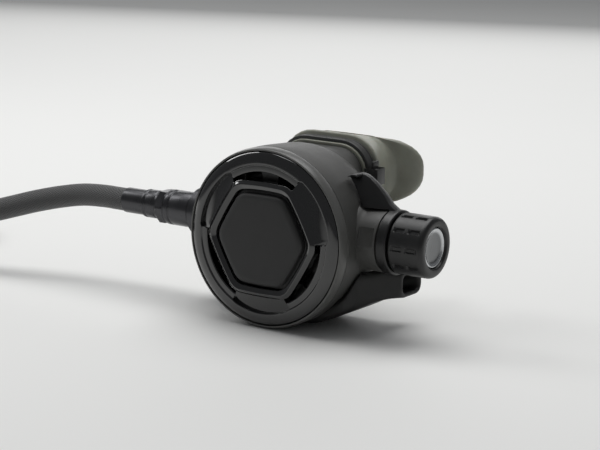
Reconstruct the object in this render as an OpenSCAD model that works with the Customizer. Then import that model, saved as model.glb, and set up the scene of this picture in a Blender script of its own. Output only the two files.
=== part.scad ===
// Demand regulator for diving: a round case with a hexagonal purge button, an adjusting knob,
// a pre-dive lever, an exhaust tee, a mouthpiece and a low-pressure hose put away in a coil.
// X runs along the valve towards the knob, Y from the purge button to the mouthpiece, Z up.

/* [Case] */
// Outer diameter of the case at the parting line
case_d = 78.6; // [76:0.2:82]
// Depth of the case from the parting line to its back
case_depth = 38; // [36:0.5:40]
// Wall thickness of the case
case_wall = 2.2; // [1.8:0.1:2.6]
// Radius of the flat at the back of the case
back_r = 26; // [24:0.5:28]
// Taper of the case, at the valve, from the parting line
case_taper = 0.7; // [0.3:0.1:1.2]

/* [Cover] */
// How far the glossy bezel's edge lies inside the case's
bezel_in = 1.4; // [1.2:0.1:2]
// Depth of the cover from the bezel's edge to the parting line
cover_depth = 6.4; // [6:0.1:7]
// Width of the bezel's ring beside a vent
vent_ring = 6.3; // [5.8:0.1:6.8]
// Distance from the centre to a vent's straight edge
vent_flat = 25.6; // [25:0.1:26.4]
// Width of the bezel's ring beside the three dished facets
facet_ring = 4.5; // [4:0.1:5]
// Width of the rim around the button's opening, corner to corner, beyond the opening
rim_w = 1.8; // [1.2:0.1:2]
// How far the rim around the button stands proud
rim_proud = 2.2; // [1.6:0.1:2.6]

/* [Purge button] */
// Radius of the hexagonal button from centre to corner
button_r = 23.1; // [21.5:0.1:23.4]
// Rounding of the hexagon's corners
button_round = 4.5; // [3:0.5:6]
// How far the middle of each side bows out
button_bow = 0.4; // [0:0.1:0.6]
// Gap between the button and the rim
button_gap = 1.3; // [0.8:0.1:1.4]
// How far the button stands proud of the bezel's edge
button_proud = 3.4; // [3:0.1:3.8]
// Wall thickness of the button
button_wall = 1.8; // [1.4:0.1:2.2]
// Travel of the purge button
purge_travel = 4; // [3:0.1:4]

/* [Valve] */
// Distance of the valve's axis behind the bezel's edge
valve_back = 26; // [25.8:0.1:27]
// Height of the valve's axis above the cover's axis
valve_rise = 1.7; // [0.5:0.1:2.2]
// Outer diameter of the valve barrel
barrel_d = 18; // [17.6:0.1:18.2]
// Bore of the valve barrel
barrel_bore_d = 13.2; // [12.8:0.1:13.6]
// Major diameter of the inlet thread, 9/16-18
inlet_d = 14.29; // [14:0.01:14.5]
// Diameter of the orifice's bore
orifice_bore_d = 5.2; // [4.6:0.1:5.6]
// Lift of the poppet at full travel
poppet_lift = 1.96; // [1.94:0.01:2.0]
// Wire diameter of the poppet spring
poppet_wire = 0.9; // [0.7:0.05:1]
// Wire diameter of the button spring
button_wire = 0.6; // [0.5:0.05:0.65]

/* [Knob] */
// Diameter of the adjusting knob
knob_d = 26.4; // [26:0.1:28]
// Length of the knob
knob_l = 16.4; // [16:0.1:18]
// Number of grip grooves in each of the two rows
knob_grooves = 10; // [8:1:14]
// Width of a grip groove
groove_w = 1.6; // [1:0.1:2]
// Depth of a grip groove
groove_t = 0.6; // [0.4:0.1:0.8]
// Diameter of the bright disc in the knob
disc_d = 17.2; // [15:0.2:19]

/* [Pre-dive lever] */
// Diameter of the lever's ring
lever_ring_d = 28; // [27:0.2:29]
// Length of the lever's ring
lever_ring_l = 5; // [4.6:0.1:5.2]
// Depth of the lever's paddle where it grips
paddle_t = 8; // [7:0.2:8.4]

/* [Exhaust] */
// How far the tee's flat foot lies below the case's edge
foot_drop = 0.2; // [0.1:0.1:1.5]
// Reach of each horn beyond the case's side
horn_out = 9.7; // [8:0.1:12]
// Wall thickness of the tee
tee_wall = 1.6; // [1.2:0.1:2]
// Diameter of the exhaust valve's disc
exhaust_d = 26; // [25:0.5:28]

/* [Mouthpiece] */
// Width of the tube that carries the mouthpiece
tube_w = 42; // [40:0.5:44]
// Height of that tube
tube_h = 28.4; // [27:0.2:29]
// Height of the tube's middle above the cover's axis
tube_rise = 21.5; // [20.5:0.1:22]
// Upward tilt of the mouthpiece
mouth_tilt = 2.5; // [1:0.5:5]
// Thickness of the rubber under the tie
rubber_t = 1.5; // [1.2:0.1:2]
// Length of the mouthpiece from its front edge to the tips of its bite tabs
mouth_l = 47.5; // [45:0.5:50]
// Half the width of the lip shield
shield_x = 33; // [31:0.5:35]
// Height of the lip shield
shield_h = 27.4; // [26:0.2:30]
// Width of the tie
tie_w = 5.4; // [4.6:0.1:6]
// Thickness of the tie
tie_t = 1.5; // [1.1:0.1:1.8]

/* [Hose] */
// Outer diameter of the hose
hose_d = 10.6; // [10:0.1:11]
// Diameter of the crimped ferrules
ferrule_d = 11.7; // [11.5:0.1:12.5]
// Length of the crimped ferrules
ferrule_l = 12; // [10:0.5:14]
// Outer diameter of the swivel nut
nut_d = 16.2; // [16:0.1:17.5]
// Major diameter of the thread at the far end, 3/8-24
port_d = 9.52; // [9.4:0.01:9.6]
// Length of that thread
port_l = 8; // [7:0.5:9]
// Size of the far connector across its flats
port_af = 13.8; // [13:0.1:14]
// Thickness of the strap that ties the coil
strap_t = 0.8; // [0.6:0.1:1]

/* [Hidden] */
$fn = 96;

fit = 0.1;          // running and seating clearance
gap = 0.3;          // clearance between pieces that must not touch
far = 60;           // longer than any cut needs
side_fn = 32;       // facets of a hull's children

// --- cover and diaphragm stack, as distances behind the bezel's edge ---
case_r = case_d / 2;
bezel_r = case_r - bezel_in;
vent_r = bezel_r - vent_ring;           // inner edge of the bezel beside a vent
facet_r = bezel_r - facet_ring;         // outer edge of the three dished facets
hole_ring_r = bezel_r - 10.9;           // ring of the web's outer holes
hole_r = 4.4;
ratio = case_r / 39.3;                  // scale of the outlines that are placed by hand
part_y = cover_depth;
part_gap = 0.2;                         // the dark line between cover and case
web_y = part_y - 1.4;                   // front of the perforated web
pocket_y = 2.7;                         // floor of the bezel's pocket
skirt_y = part_y + 1.6;                 // end of the cover's threaded skirt
slip_t = 0.4;                           // thickness of the slip ring
bead_y = skirt_y + slip_t + 0.1;        // front of the diaphragm's bead
bead_t = 1.8;
ledge_y = bead_y + bead_t + 0.1;        // ledge in the case under the bead
mouth_r = case_r - 2.5;                 // threaded mouth of the case
chamber_r = mouth_r - 2.8;              // chamber behind the ledge
skin_t = 0.8;                           // diaphragm skin
disc_r = mouth_r - 19.7;                // stiff disc in the middle of the diaphragm
roll_r = mouth_r - 10.4;                // the roll round it
disc_y = bead_y + 0.5;
disc_t = 1;
stem_r = 4.8;                           // plunger under the button
back_y = part_y + case_depth;
back_fade_y = valve_back + 1;           // where the shoulder starts

// --- valve, as distances along X ---
barrel_r = barrel_d / 2;
bore_r = barrel_bore_d / 2;
inlet_r = inlet_d / 2;
left_boss_x = -case_r - 8.7;            // end of the inlet boss
right_boss_x = case_r + 8.7;            // end of the adjusting boss
sleeve_x = case_r - 5.3;                // inner end of the pre-dive lever's sleeve
left_boss_r = barrel_r + 3;
right_boss_r = barrel_r + 4.6;
flange_x = left_boss_x - 4;             // outer face of the barrel's flange
inlet_l = 14;
inlet_x = flange_x - inlet_l;           // end of the inlet thread
sleeve_r = barrel_r + 1;                // outside of the pre-dive lever's sleeve
vane_x = 16;                            // inner end of the flow vane
ring_x = right_boss_x + 0.4;            // pre-dive lever's ring
lever_end_x = ring_x + lever_ring_l;
nut_x = lever_end_x + gap;              // barrel nut
barrel_end_x = nut_x + 3.3;
knob_x = lever_end_x + 0.6;
knob_end_x = knob_x + knob_l;
knob_r = knob_d / 2;
seat_x = -14;                           // face of the poppet
pivot_x = 12;                           // demand lever's rocking edge
pivot_y = valve_back - barrel_r + 0.2;
flange_poppet_x = pivot_x + 1.15;       // flange that the lever's feet lift
pad_x = 34;                             // front of the spring pad
pad_l = 8;
guide_end_x = pad_x - 8;                // end of the poppet's guide
spindle_r = 3.5;
spindle_thread_r = 4.4;
collar_x = barrel_end_x - 7.5;          // thrust collar on the spindle
hub_x = knob_x + 6;                     // hub inside the knob
cap_x = knob_end_x - 2;                 // seat of the bright disc

// --- exhaust recess in the case, seen from the front ---
foot_z = case_r + foot_drop;
horn_x = case_r + horn_out;
sump_x = case_r - 12.3;
sump_z = 12.3 - case_r;
cheek_x = case_r - 0.3;
cheek_z = 21.3 - case_r;
sump_y = part_y + 6.6;                  // front wall of the recess
horn_y = back_y - 8.4;                  // front edge of each horn's mouth
horn_end_y = back_y + 5.6;
horn_low = 14.2;                        // a horn's floor above the foot
exhaust_y = valve_back + 2;             // axis of the exhaust valve
exhaust_r = exhaust_d / 2;

// --- mouthpiece, in its own tilted frame ---
tube_round = 11.5;                      // corner radius of the tube
tube_l = 13;                            // tube that the mouthpiece grips
mouth_y = back_y + 1.6;                 // front edge of the rubber
tie_y = 0.8;                            // front of the tie's channel
rim_y = tie_y + tie_w + 0.5;            // rim behind the tie
boot_l = 16;
neck_l = 5;
shield_sag = 13;                        // how far the shield's ends sweep back
shield_t = 3.5;
tab_h = 3;
tab_x0 = 12;
tab_x1 = 24.5;

// --- hose fittings along X ---
stem_x = inlet_x - 2.2;                 // stem's flange meets the inlet thread
nut_back_x = stem_x - 4.4;
shoulder_x = nut_back_x - 9.4;          // stem's bright shoulder
exit_x = shoulder_x - ferrule_l;        // where the hose leaves its ferrule
ferrule_r = ferrule_d / 2;
hose_r = hose_d / 2;
nut_r = nut_d / 2;

// --- the hose's own route from where it leaves the ferrule: left, forwards, down ---
route = [[0, 0, 0], [-7, 0, 0], [-14, 0, 0], [-26, -0.4, -0.8], [-38, -2.4, -3], [-50, -5.7, -6],
         [-62, -10, -9.7], [-74, -15, -13.5], [-86, -20.6, -17.2], [-98, -26.1, -20.3],
         [-110, -31.3, -22.4], [-122, -36, -23.3], [-134, -39.6, -23.9], [-146, -42, -25],
         [-158, -43, -27.8], [-171, -43, -31.5], [-181, -42, -33.9], [-191, -38.8, -35.1]];
coil_c = [-171, 4];                     // middle of the coil, from where the hose leaves
coil_r0 = 47;                           // first turn
coil_step = 11;                         // how far each turn lies outside the last
coil_turns = 1.25;
coil_r1 = coil_r0 + coil_step * coil_turns;
coil_z = hose_r + strap_t - foot_z;     // height of the turns' centreline
tail = [[0, -2, 0], [0, 9, 0.2], [0, 19, 0.7], [0, 29, 1], [0, 39, 1]];
tail_x = exit_x + coil_c[0] - coil_r1;
tail_y = valve_back + coil_c[1];
end_z = coil_z + 1;
ferrule_y = tail_y + 39;
port_y = ferrule_y + ferrule_l;
hex_l = 7;
neck_port_l = 2.2;
thread_y = port_y + hex_l + neck_port_l;

// --- origin: under the middle of the regulator without its hose ---
mouth_end_y = mouth_y + mouth_l * cos(mouth_tilt) + tab_h / 2 * sin(mouth_tilt);
mid_x = (knob_end_x + nut_back_x) / 2;
mid_y = (mouth_end_y - button_proud) / 2;

// --- placing and shared shapes ---
module place() translate([-mid_x, -mid_y, foot_z]) children();

// turns a profile [radius, depth] about the cover's axis
module spin_y() rotate([-90, 0, 0]) rotate_extrude() children();

// turns a profile [radius, x] about the valve's axis
module spin_x() translate([0, valve_back, valve_rise]) rotate([0, 90, 0]) rotate_extrude() children();

// a plain bush about the valve's axis
module bush(r_in, r_out, x0, x1)
    spin_x() translate([r_in, x0]) square([r_out - r_in, x1 - x0]);

// a flat outline seen from the front, from depth y0 to y0 + depth
module front_plate(y0, depth)
    translate([0, y0 + depth, 0]) rotate([90, 0, 0]) linear_extrude(depth) children();

// an outline seen from above, from height z0 to z0 + height
module floor_plate(z0, height) translate([0, 0, z0]) linear_extrude(height) children();

module torus(r, wire) rotate_extrude() translate([r, 0]) circle(wire / 2, $fn = 24);

// hexagon with rounded corners and bowed sides; r runs from centre to the sharp corner's arc
function rounded_hex(r, c, bow) = [for (k = [0:5]) each concat(
    [for (a = [-30:10:30])
        (r - c) * [cos(60 * k), sin(60 * k)] + c * [cos(60 * k + a), sin(60 * k + a)]],
    [for (t = [0.3, 0.5, 0.7]) let (
        p = (r - c) * [cos(60 * k), sin(60 * k)], q = (r - c) * [cos(60 * k + 60), sin(60 * k + 60)],
        n = [cos(60 * k + 30), sin(60 * k + 30)])
        p + t * (q - p) + (c + bow * (1 - pow(2 * t - 1, 2))) * n])];

module hex(r) polygon(rounded_hex(r, button_round, button_bow));

// oblong with the given corner radius
module oblong(w, h, r) {
    square([w - 2 * r, h], center = true);
    square([w, h - 2 * r], center = true);
    for (x = [-1, 1], z = [-1, 1]) translate([x * (w / 2 - r), z * (h / 2 - r)]) circle(r);
}

// points mirrored in the first coordinate, as one closed outline
function both(p) = concat(p, [for (k = [len(p) - 1:-1:0]) [-p[k][0], p[k][1]]]);

// tube swept along points, its rings kept upright by the direction up
function unit(v) = v / norm(v);
module sweep(points, r, sides, up) {
    n = len(points);
    rings = [for (k = [0:n - 1]) let (
        t = unit(points[min(k + 1, n - 1)] - points[max(k - 1, 0)]),
        u = unit(cross(up, t)), v = cross(t, u))
        [for (s = [0:sides - 1]) points[k] + r * (cos(360 * s / sides) * u + sin(360 * s / sides) * v)]];
    polyhedron([for (ring = rings) each ring], concat(
        [[for (s = [0:sides - 1]) s]], [[for (s = [sides - 1:-1:0]) (n - 1) * sides + s]],
        [for (k = [0:n - 2], s = [0:sides - 1]) let (s2 = (s + 1) % sides)
            [k * sides + s, (k + 1) * sides + s, (k + 1) * sides + s2, k * sides + s2]]), convexity = 8);
}

// coil spring along +Z from 0 to l, its wire inside both ends
module coil_spring(r, wire, l, turns) {
    steps = turns * 12;
    sweep([for (k = [0:steps]) let (a = 360 * turns * k / steps)
        [r * cos(a), r * sin(a), wire / 2 + (l - wire) * k / steps]], wire / 2, 6, [0, 0, 1]);
}

// --- case ---
function shoulder(inset) = [for (a = [0:15:90])
    [back_r - inset + (case_r - case_taper - back_r) * cos(a),
     back_fade_y + (back_y - back_fade_y - inset) * sin(a)]];

module mouth_frame() translate([0, mouth_y, tube_rise]) rotate([mouth_tilt, 0, 0]) children();

module tube_shape(inset)
    oblong(tube_w - 2 * inset, tube_h - 2 * inset, tube_round - inset);

// recess for the exhaust tee, grown by a wall
module sump_outline(grow) polygon(both([[sump_x + grow * 0.4, sump_z + grow],
    [cheek_x + grow * 0.4, cheek_z + grow], [case_r + 4, cheek_z + grow + 3], [case_r + 4, -far]]));

module sump(grow, y0) front_plate(y0, far) sump_outline(grow);

module case_outside() {
    spin_y() polygon(concat([[0, part_y]], [[case_r, part_y]], [[case_r, part_y + 8]], shoulder(0),
        [[0, back_y]]));
    hull() {
        front_plate(back_fade_y + 3, 1) circle(case_r - 2.3, $fn = side_fn * 2);
        mouth_frame() front_plate(-1.9, 0.5) for (x = [-1, 1], z = [-1, 1])
            translate([x * (tube_w / 2 - tube_round), z * (tube_h / 2 - tube_round)])
                circle(tube_round - 0.4, $fn = side_fn);
    }
    mouth_frame() front_plate(-4, tube_l + 4) tube_shape(0);
    bush(0, left_boss_r, left_boss_x, 0);
    bush(0, right_boss_r, 0, right_boss_x);
}

module case_inside() {
    spin_y() polygon(concat([[0, part_y - 1], [mouth_r, part_y - 1], [mouth_r, ledge_y],
        [chamber_r, ledge_y]], [for (p = shoulder(case_wall)) [min(p[0], chamber_r), p[1]]],
        [[0, back_y - case_wall]]));
    mouth_frame() front_plate(-12, tube_l + 14) tube_shape(case_wall);
}

module case() color("#2b2b2b") place() difference() {
    case_outside();
    difference() {
        case_inside();
        sump(2, sump_y - 2);
    }
    sump(0, sump_y);
    bush(0, barrel_r + fit / 2, left_boss_x - 1, 0);
    bush(0, sleeve_r + fit, 0, right_boss_x + 1);
    // exhaust port with its spider
    translate([0, exhaust_y, sump_z - 1]) difference() {
        cylinder(h = 4, r = exhaust_r - 2);
        for (a = [0, 90]) rotate(a + 45) translate([-far / 2, -1, -1]) cube([far, 2, 6]);
        translate([0, 0, -1]) cylinder(h = 6, r = 3.2);
    }
    translate([0, exhaust_y, sump_z - 1]) cylinder(h = 4, r = 1.5);
}

// --- cover ---
module front_cover() color("#3a3a3a") place() difference() {
    spin_y() polygon([[stem_r + fit, web_y], [bezel_r - 1.7, web_y], [bezel_r - 1.7, pocket_y],
        [bezel_r + fit, pocket_y], [bezel_r + fit, 0.8], [bezel_r + 0.75, 0.8], [case_r, 3.8],
        [case_r, part_y - part_gap], [mouth_r - fit, part_y - part_gap], [mouth_r - fit, skirt_y],
        [mouth_r - 2.4, skirt_y], [mouth_r - 2.4, part_y], [stem_r + fit, part_y]]);
    for (a = [30:60:330]) rotate([0, a, 0]) translate([hole_ring_r - 12, part_y + 1, 0])
        rotate([90, 0, 0]) cylinder(h = 4, r = hole_r - 0.8);
    for (a = [0:36:324]) rotate([0, a, 0]) translate([hole_ring_r, part_y + 1, 0]) rotate([90, 0, 0])
        cylinder(h = 4, r = hole_r);
}

opening_r = button_r + button_gap;

module third(a) rotate(a) polygon([[0, 0], [far, -far * tan(30)], [far, far * tan(30)]]);

module bezel() color("#111111") place() difference() {
    union() {
        difference() {
            spin_y() polygon([[vent_r, pocket_y], [vent_r, -0.2], [vent_r + 0.5, -0.5],
                [bezel_r - 1.5, -0.5], [bezel_r - 0.5, 0], [bezel_r, 0.8], [bezel_r, pocket_y]]);
            front_plate(-3, 4.2) for (a = [30, 150, 270]) intersection() {
                circle(facet_r);
                third(a);
            }
        }
        spin_y() polygon([[opening_r * 0.8, 0.3 - rim_proud], [facet_r, 1.2], [facet_r + 0.2, pocket_y],
            [opening_r * 0.8, 1.9 - rim_proud]]);
        front_plate(-rim_proud, 3.2) hex(opening_r + rim_w);
    }
    front_plate(-10, 20) hex(opening_r);
    front_plate(-10, 20) for (a = [90, 210, 330]) intersection() {
        circle(vent_r);
        rotate(a) translate([vent_flat, -far / 2]) square([far, far]);
    }
}

button_back_y = web_y - purge_travel - 0.2;
button_in_y = 2.2 - button_proud;       // underside of the button's face

module purge_button() color("#2d2d2d") place() {
    front_plate(-button_proud, 1.2) hex(button_r - 0.5);
    front_plate(0.8 - button_proud, button_in_y - 0.8 + button_proud) hex(button_r);
    difference() {
        front_plate(button_in_y - 0.4, button_back_y - button_in_y + 0.4) hex(button_r);
        front_plate(button_in_y - 1, far) hex(button_r - button_wall);
    }
    spin_y() translate([0, button_in_y - 0.4]) square([stem_r, disc_y - 0.3 - button_in_y + 0.4]);
}

module button_spring() color("silver") place()
    translate([0, web_y, 0]) rotate([90, 0, 0])
        coil_spring(stem_r + 1.6, button_wire, web_y - button_in_y, 3);

module slip_ring() color("white") place()
    spin_y() translate([mouth_r - 2.3, skirt_y]) square([2.1, slip_t]);

module diaphragm() color("#c8c4b4") place() spin_y() polygon([
    [mouth_r - 2.3, bead_y], [mouth_r - 0.2, bead_y], [mouth_r - 0.2, bead_y + bead_t],
    [mouth_r - 2.3, bead_y + bead_t], [mouth_r - 2.6, disc_y + skin_t], [roll_r + 2.5, disc_y + skin_t],
    [roll_r + 1.1, disc_y - 0.7], [roll_r, disc_y - 1.2], [roll_r - 1.1, disc_y - 0.7],
    [roll_r - 2.5, disc_y + skin_t], [disc_r + 0.1, disc_y + skin_t], [disc_r + 0.1, disc_y],
    [roll_r - 3.1, disc_y], [roll_r - 1.8, disc_y - 1.5], [roll_r, disc_y - 2],
    [roll_r + 1.8, disc_y - 1.5], [roll_r + 3.1, disc_y], [mouth_r - 2.3, disc_y]]);

module diaphragm_disc() color("silver") place() spin_y() union() {
    translate([0, disc_y]) square([disc_r, disc_t]);
}

// --- demand valve ---
lever_tip = [-6, disc_y + disc_t + 0.2 + 1.2];
foot_r = 1;

module demand_lever() color("gold") place() {
    floor_plate(valve_rise - 3, 6) {
        translate(lever_tip) circle(1.2);
        polygon([lever_tip + [0, -1.2], [pivot_x - 1, pivot_y - 2.6], [pivot_x - 1, pivot_y - 1.2],
            lever_tip + [0, 1.2]]);
    }
    floor_plate(valve_rise - barrel_r - 1.9, barrel_d + 3.8)
        translate([pivot_x - 2.6, pivot_y - 2.6]) square([4.2, 1.5]);
    for (s = [-1, 1]) {
        // leg, with the round heel that it rocks on
        floor_plate(valve_rise + s * (barrel_r + 1.2) - 0.7, 1.4) {
            translate([pivot_x - 1.4, pivot_y - 2.6]) square([2.8, valve_back - pivot_y + 4]);
            translate([pivot_x, pivot_y]) circle(1.9);
        }
        translate([pivot_x, valve_back, valve_rise + s * (barrel_r + 4.2) / 2])
            cylinder(h = barrel_r - 3, r = foot_r, center = true);
    }
}

oring_w = 1.3;                          // section of the small seals

module valve_barrel() color("#c9cccf") place() difference() {
    spin_x() polygon([[4, inlet_x], [inlet_r, inlet_x], [inlet_r, flange_x],
        [barrel_r + 1.8, flange_x], [barrel_r + 1.8, left_boss_x], [barrel_r, left_boss_x],
        [barrel_r, left_boss_x + 3], [barrel_r - 1.2, left_boss_x + 3],
        [barrel_r - 1.2, left_boss_x + 4.8], [barrel_r, left_boss_x + 4.8], [barrel_r, barrel_end_x],
        [bore_r + 0.8, barrel_end_x], [bore_r + 0.8, collar_x + 2.7], [bore_r, collar_x + 2.7],
        [bore_r, left_boss_x + 12], [4, left_boss_x + 12]]);
    // slots for the lever's feet, and the outlet towards the mouthpiece
    translate([pivot_x - 1.7, valve_back - 1.8, valve_rise - far / 2]) cube([5.6, 3.6, far]);
    translate([pivot_x + 7, valve_back, valve_rise - 4]) cube([11, far, 8]);
}

module barrel_oring() color("#101010") place()
    translate([left_boss_x + 3.9, valve_back, valve_rise]) rotate([0, 90, 0])
        torus(barrel_r - 0.58, 1.2);

crown_x = seat_x - 0.65;                // orifice's lip, against the seat

module orifice() color("#b9a36a") place() spin_x() polygon([
    [orifice_bore_d / 2, left_boss_x + 14], [bore_r - 0.05, left_boss_x + 14],
    [bore_r - 0.05, left_boss_x + 18], [bore_r - 1.35, left_boss_x + 18],
    [bore_r - 1.35, left_boss_x + 20], [bore_r - 0.05, left_boss_x + 20],
    [bore_r - 0.05, crown_x - 6], [orifice_bore_d / 2 + 0.9, crown_x - 1],
    [orifice_bore_d / 2 + 0.5, crown_x], [orifice_bore_d / 2, crown_x]]);

module orifice_oring() color("#101010") place()
    translate([left_boss_x + 19, valve_back, valve_rise]) rotate([0, 90, 0])
        torus(bore_r - 0.68, oring_w);

module poppet() color("#d8d2c0") place() spin_x() polygon([
    [0, seat_x + 1.6], [4.6, seat_x + 1.6], [4.6, seat_x], [bore_r - 0.2, seat_x],
    [bore_r - 0.2, seat_x + 5], [3.4, seat_x + 5], [3.4, flange_poppet_x],
    [bore_r - 0.2, flange_poppet_x], [bore_r - 0.2, flange_poppet_x + 1.8],
    [2.4, flange_poppet_x + 1.8], [2.4, guide_end_x], [0, guide_end_x]]);

module poppet_seat() color("#3b3b3b") place() bush(0, 4.5, crown_x + 0.05, seat_x + 1.55);

module poppet_spring() color("silver") place()
    translate([flange_poppet_x + 1.8, valve_back, valve_rise]) rotate([0, 90, 0])
        coil_spring(4.6, poppet_wire, pad_x - flange_poppet_x - 1.8, 8);

module spring_pad() color("#d0d0d0") place() bush(spindle_thread_r + 0.05, bore_r - 0.1, pad_x, pad_x + pad_l);

module adjust_spindle() color("#c9cccf") place() spin_x() polygon([
    [0, pad_x + 0.5], [spindle_thread_r, pad_x + 0.5], [spindle_thread_r, collar_x],
    [bore_r - 0.15, collar_x], [bore_r - 0.15, collar_x + 2.5], [spindle_r, collar_x + 2.5],
    [spindle_r, cap_x - 2.4], [0, cap_x - 2.4]]);

module packing_nut() color("#c9cccf") place() spin_x() polygon([
    [spindle_r + 0.05, collar_x + 2.75], [bore_r + 0.75, collar_x + 2.75],
    [bore_r + 0.75, barrel_end_x + 0.05], [bore_r + 2, barrel_end_x + 0.05],
    [bore_r + 2, barrel_end_x + 1.5], [spindle_r + 0.05, barrel_end_x + 1.5],
    [spindle_r + 0.05, collar_x + 6], [spindle_r + 1.4, collar_x + 6],
    [spindle_r + 1.4, collar_x + 4.4], [spindle_r + 0.05, collar_x + 4.4]]);

module spindle_oring() color("#101010") place()
    translate([collar_x + 5.2, valve_back, valve_rise]) rotate([0, 90, 0])
        torus(spindle_r + 0.72, oring_w);

module barrel_nut() color("#c9cccf") place() difference() {
    bush(barrel_r + 0.05, barrel_r + 2.4, nut_x, barrel_end_x);
    for (k = [0:3]) translate([nut_x + 1.2, valve_back, valve_rise]) rotate([90 * k, 0, 0])
        translate([0, -1, barrel_r + 1.4]) cube([far, 2, far]);
}

// --- knob ---
module knob() color("#242424") place() difference() {
    spin_x() polygon([[0, hub_x], [barrel_r + 3, hub_x], [barrel_r + 3, knob_x], [knob_r - 0.6, knob_x],
        [knob_r, knob_x + 0.8], [knob_r, knob_end_x - 2.2], [knob_r - 0.4, knob_end_x - 1.1],
        [knob_r - 1.2, knob_end_x - 0.3], [knob_r - 2.2, knob_end_x], [disc_d / 2 + 0.6, knob_end_x],
        [disc_d / 2 + fit, cap_x + 0.9], [disc_d / 2 + fit, cap_x], [0, cap_x]]);
    bush(0, spindle_r + 0.02, hub_x - 1, cap_x - 2.4);
    bush(0, 3.6, cap_x - 2.4, cap_x + 1);
    for (k = [0:knob_grooves - 1], x = [[knob_x + 2, 4.6], [knob_end_x - 7.6, 4.8]])
        translate([x[0], valve_back, valve_rise]) rotate([360 * k / knob_grooves + 18, 0, 0])
            translate([0, -groove_w / 2, knob_r - groove_t]) cube([x[1], groove_w, 3]);
}

module knob_cap() color("#d9dadb") place() spin_x() polygon([
    [0, cap_x], [disc_d / 2, cap_x], [disc_d / 2, cap_x + 0.8], [disc_d / 2 - 0.5, cap_x + 1.2],
    [disc_d / 2 - 1.4, cap_x + 1], [disc_d * 0.3, cap_x + 0.7], [disc_d * 0.1, cap_x + 0.6],
    [0, cap_x + 0.6]]);

module knob_screw() color("silver") place() difference() {
    bush(0, 3.2, cap_x - 2.3, cap_x - 0.3);
    translate([cap_x - 1.4, valve_back, valve_rise]) rotate([0, 90, 0]) cylinder(h = 3, r = 1.5, $fn = 6);
}

// --- pre-dive lever: sleeve, ring and paddle ---
clear_r = case_r + 0.7;                 // the paddle keeps this far from the cover's axis
paddle_z = valve_rise + right_boss_r + 0.4;
function on_clear(x) = [x, sqrt(pow(clear_r, 2) - x * x)];
paddle_top = concat([[lever_end_x - 0.8, valve_rise + lever_ring_d / 2 - 0.8]],
    ratio * [[48.4, 17.7], [46.3, 20.2], [44, 22.5], [40.9, 25.3], [37.6, 27.8], [35.4, 28.9],
         [33.1, 29.4], [31, 29.3]]);
paddle_y = valve_back + 2 - paddle_t;   // front of the grip; the back stays 2 behind the axis

module paddle_outline() polygon(concat(paddle_top, [for (x = [28.6, 31, 33, 35]) on_clear(ratio * x)],
    [[sqrt(pow(clear_r, 2) - pow(paddle_z, 2)), paddle_z], [ring_x, paddle_z],
    [ring_x, valve_rise + lever_ring_d / 2 - 2], [lever_end_x - 0.8, valve_rise + lever_ring_d / 2 - 2]]));

module venturi_lever() color("#1c1c1c") place() {
    bush(barrel_r + fit, sleeve_r, sleeve_x, ring_x + 1);
    spin_x() polygon([[barrel_r + fit, ring_x], [lever_ring_d / 2 - 0.5, ring_x],
        [lever_ring_d / 2, ring_x + 0.5], [lever_ring_d / 2, lever_end_x - 0.5],
        [lever_ring_d / 2 - 0.5, lever_end_x], [barrel_r + fit, lever_end_x]]);
    difference() {
        front_plate(paddle_y, paddle_t) paddle_outline();
        // the face leans back towards its outer edge
        translate([ratio * 35.6, paddle_y, paddle_z + 1.2]) rotate([-22, 0, 15])
            translate([-far / 2, -far, -far / 2]) cube([far, far, far]);
    }
    front_plate(paddle_y, paddle_t) intersection() {
        paddle_outline();
        translate(ratio * [20, 26.6]) square(ratio * [14, 6]);
    }
}

module flow_vane() color("#2f2f2f") place() intersection() {
    bush(barrel_r + fit, sleeve_r, vane_x, sleeve_x);
    translate([vane_x - 1, valve_back - far / 2, valve_rise + 4]) cube([20, far, far]);
}

// --- exhaust ---
module exhaust_valve() color("#151515") place() {
    translate([0, exhaust_y, sump_z - 1.25]) cylinder(h = 1.1, r = exhaust_r);
    translate([0, exhaust_y, sump_z - 1.25]) cylinder(h = 4.6, r = 1.4);
    translate([0, exhaust_y, sump_z + 2.1]) cylinder(h = 1.2, r = 2.2);
}

// the tee's front silhouette, right half from the foot to the plate above the exhaust valve
tee_low = [[ratio * 10, -foot_z], [ratio * 16, -foot_z + 1.6], [ratio * 21, -foot_z + 3.4],
           [ratio * 27.6, -foot_z + 6.1], [ratio * 32, -foot_z + 8.3], [ratio * 36.2, -foot_z + 10.5],
           [ratio * 40.3, -foot_z + 13]];
horn_top_z = cheek_z + 2.4;

module tee_front(w) polygon(both(concat(
    [for (p = tee_low) [p[0] - 0.4 * w, p[1] + w]],
    [[horn_x - 4.5, -foot_z + horn_low + w], [horn_x + w, -foot_z + horn_low + w],
     [horn_x + w, horn_top_z - w], [cheek_x + 0.2, cheek_z - 0.1 - w],
     [cheek_x + 0.1 - 0.8 * w, cheek_z - 0.1 - 0.6 * w], [sump_x + 0.05, sump_z - 0.1]])));

module tee_plan(w) polygon(both([
    [ratio * 16, sump_y + fit + w], [ratio * 24 - w / 2, sump_y + 5 + w], [horn_x + w, horn_y + 1.3 * w],
    [horn_x + w, horn_end_y - w], [horn_x - 5, horn_end_y - w], [horn_x - 13, horn_end_y - 4 - w],
    [ratio * 16, back_y + 0.4 - w]]));

// the tee seen from the side: its lower front edge slopes down to the foot
module tee_side(w) translate([-far, 0, 0]) rotate([90, 0, 90]) linear_extrude(2 * far)
    polygon([[sump_y - 2, -foot_z + 3.8 + w], [sump_y + 7.5, -foot_z + w], [far, -foot_z + w], [far, 0],
        [sump_y - 2, 0]]);

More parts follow.
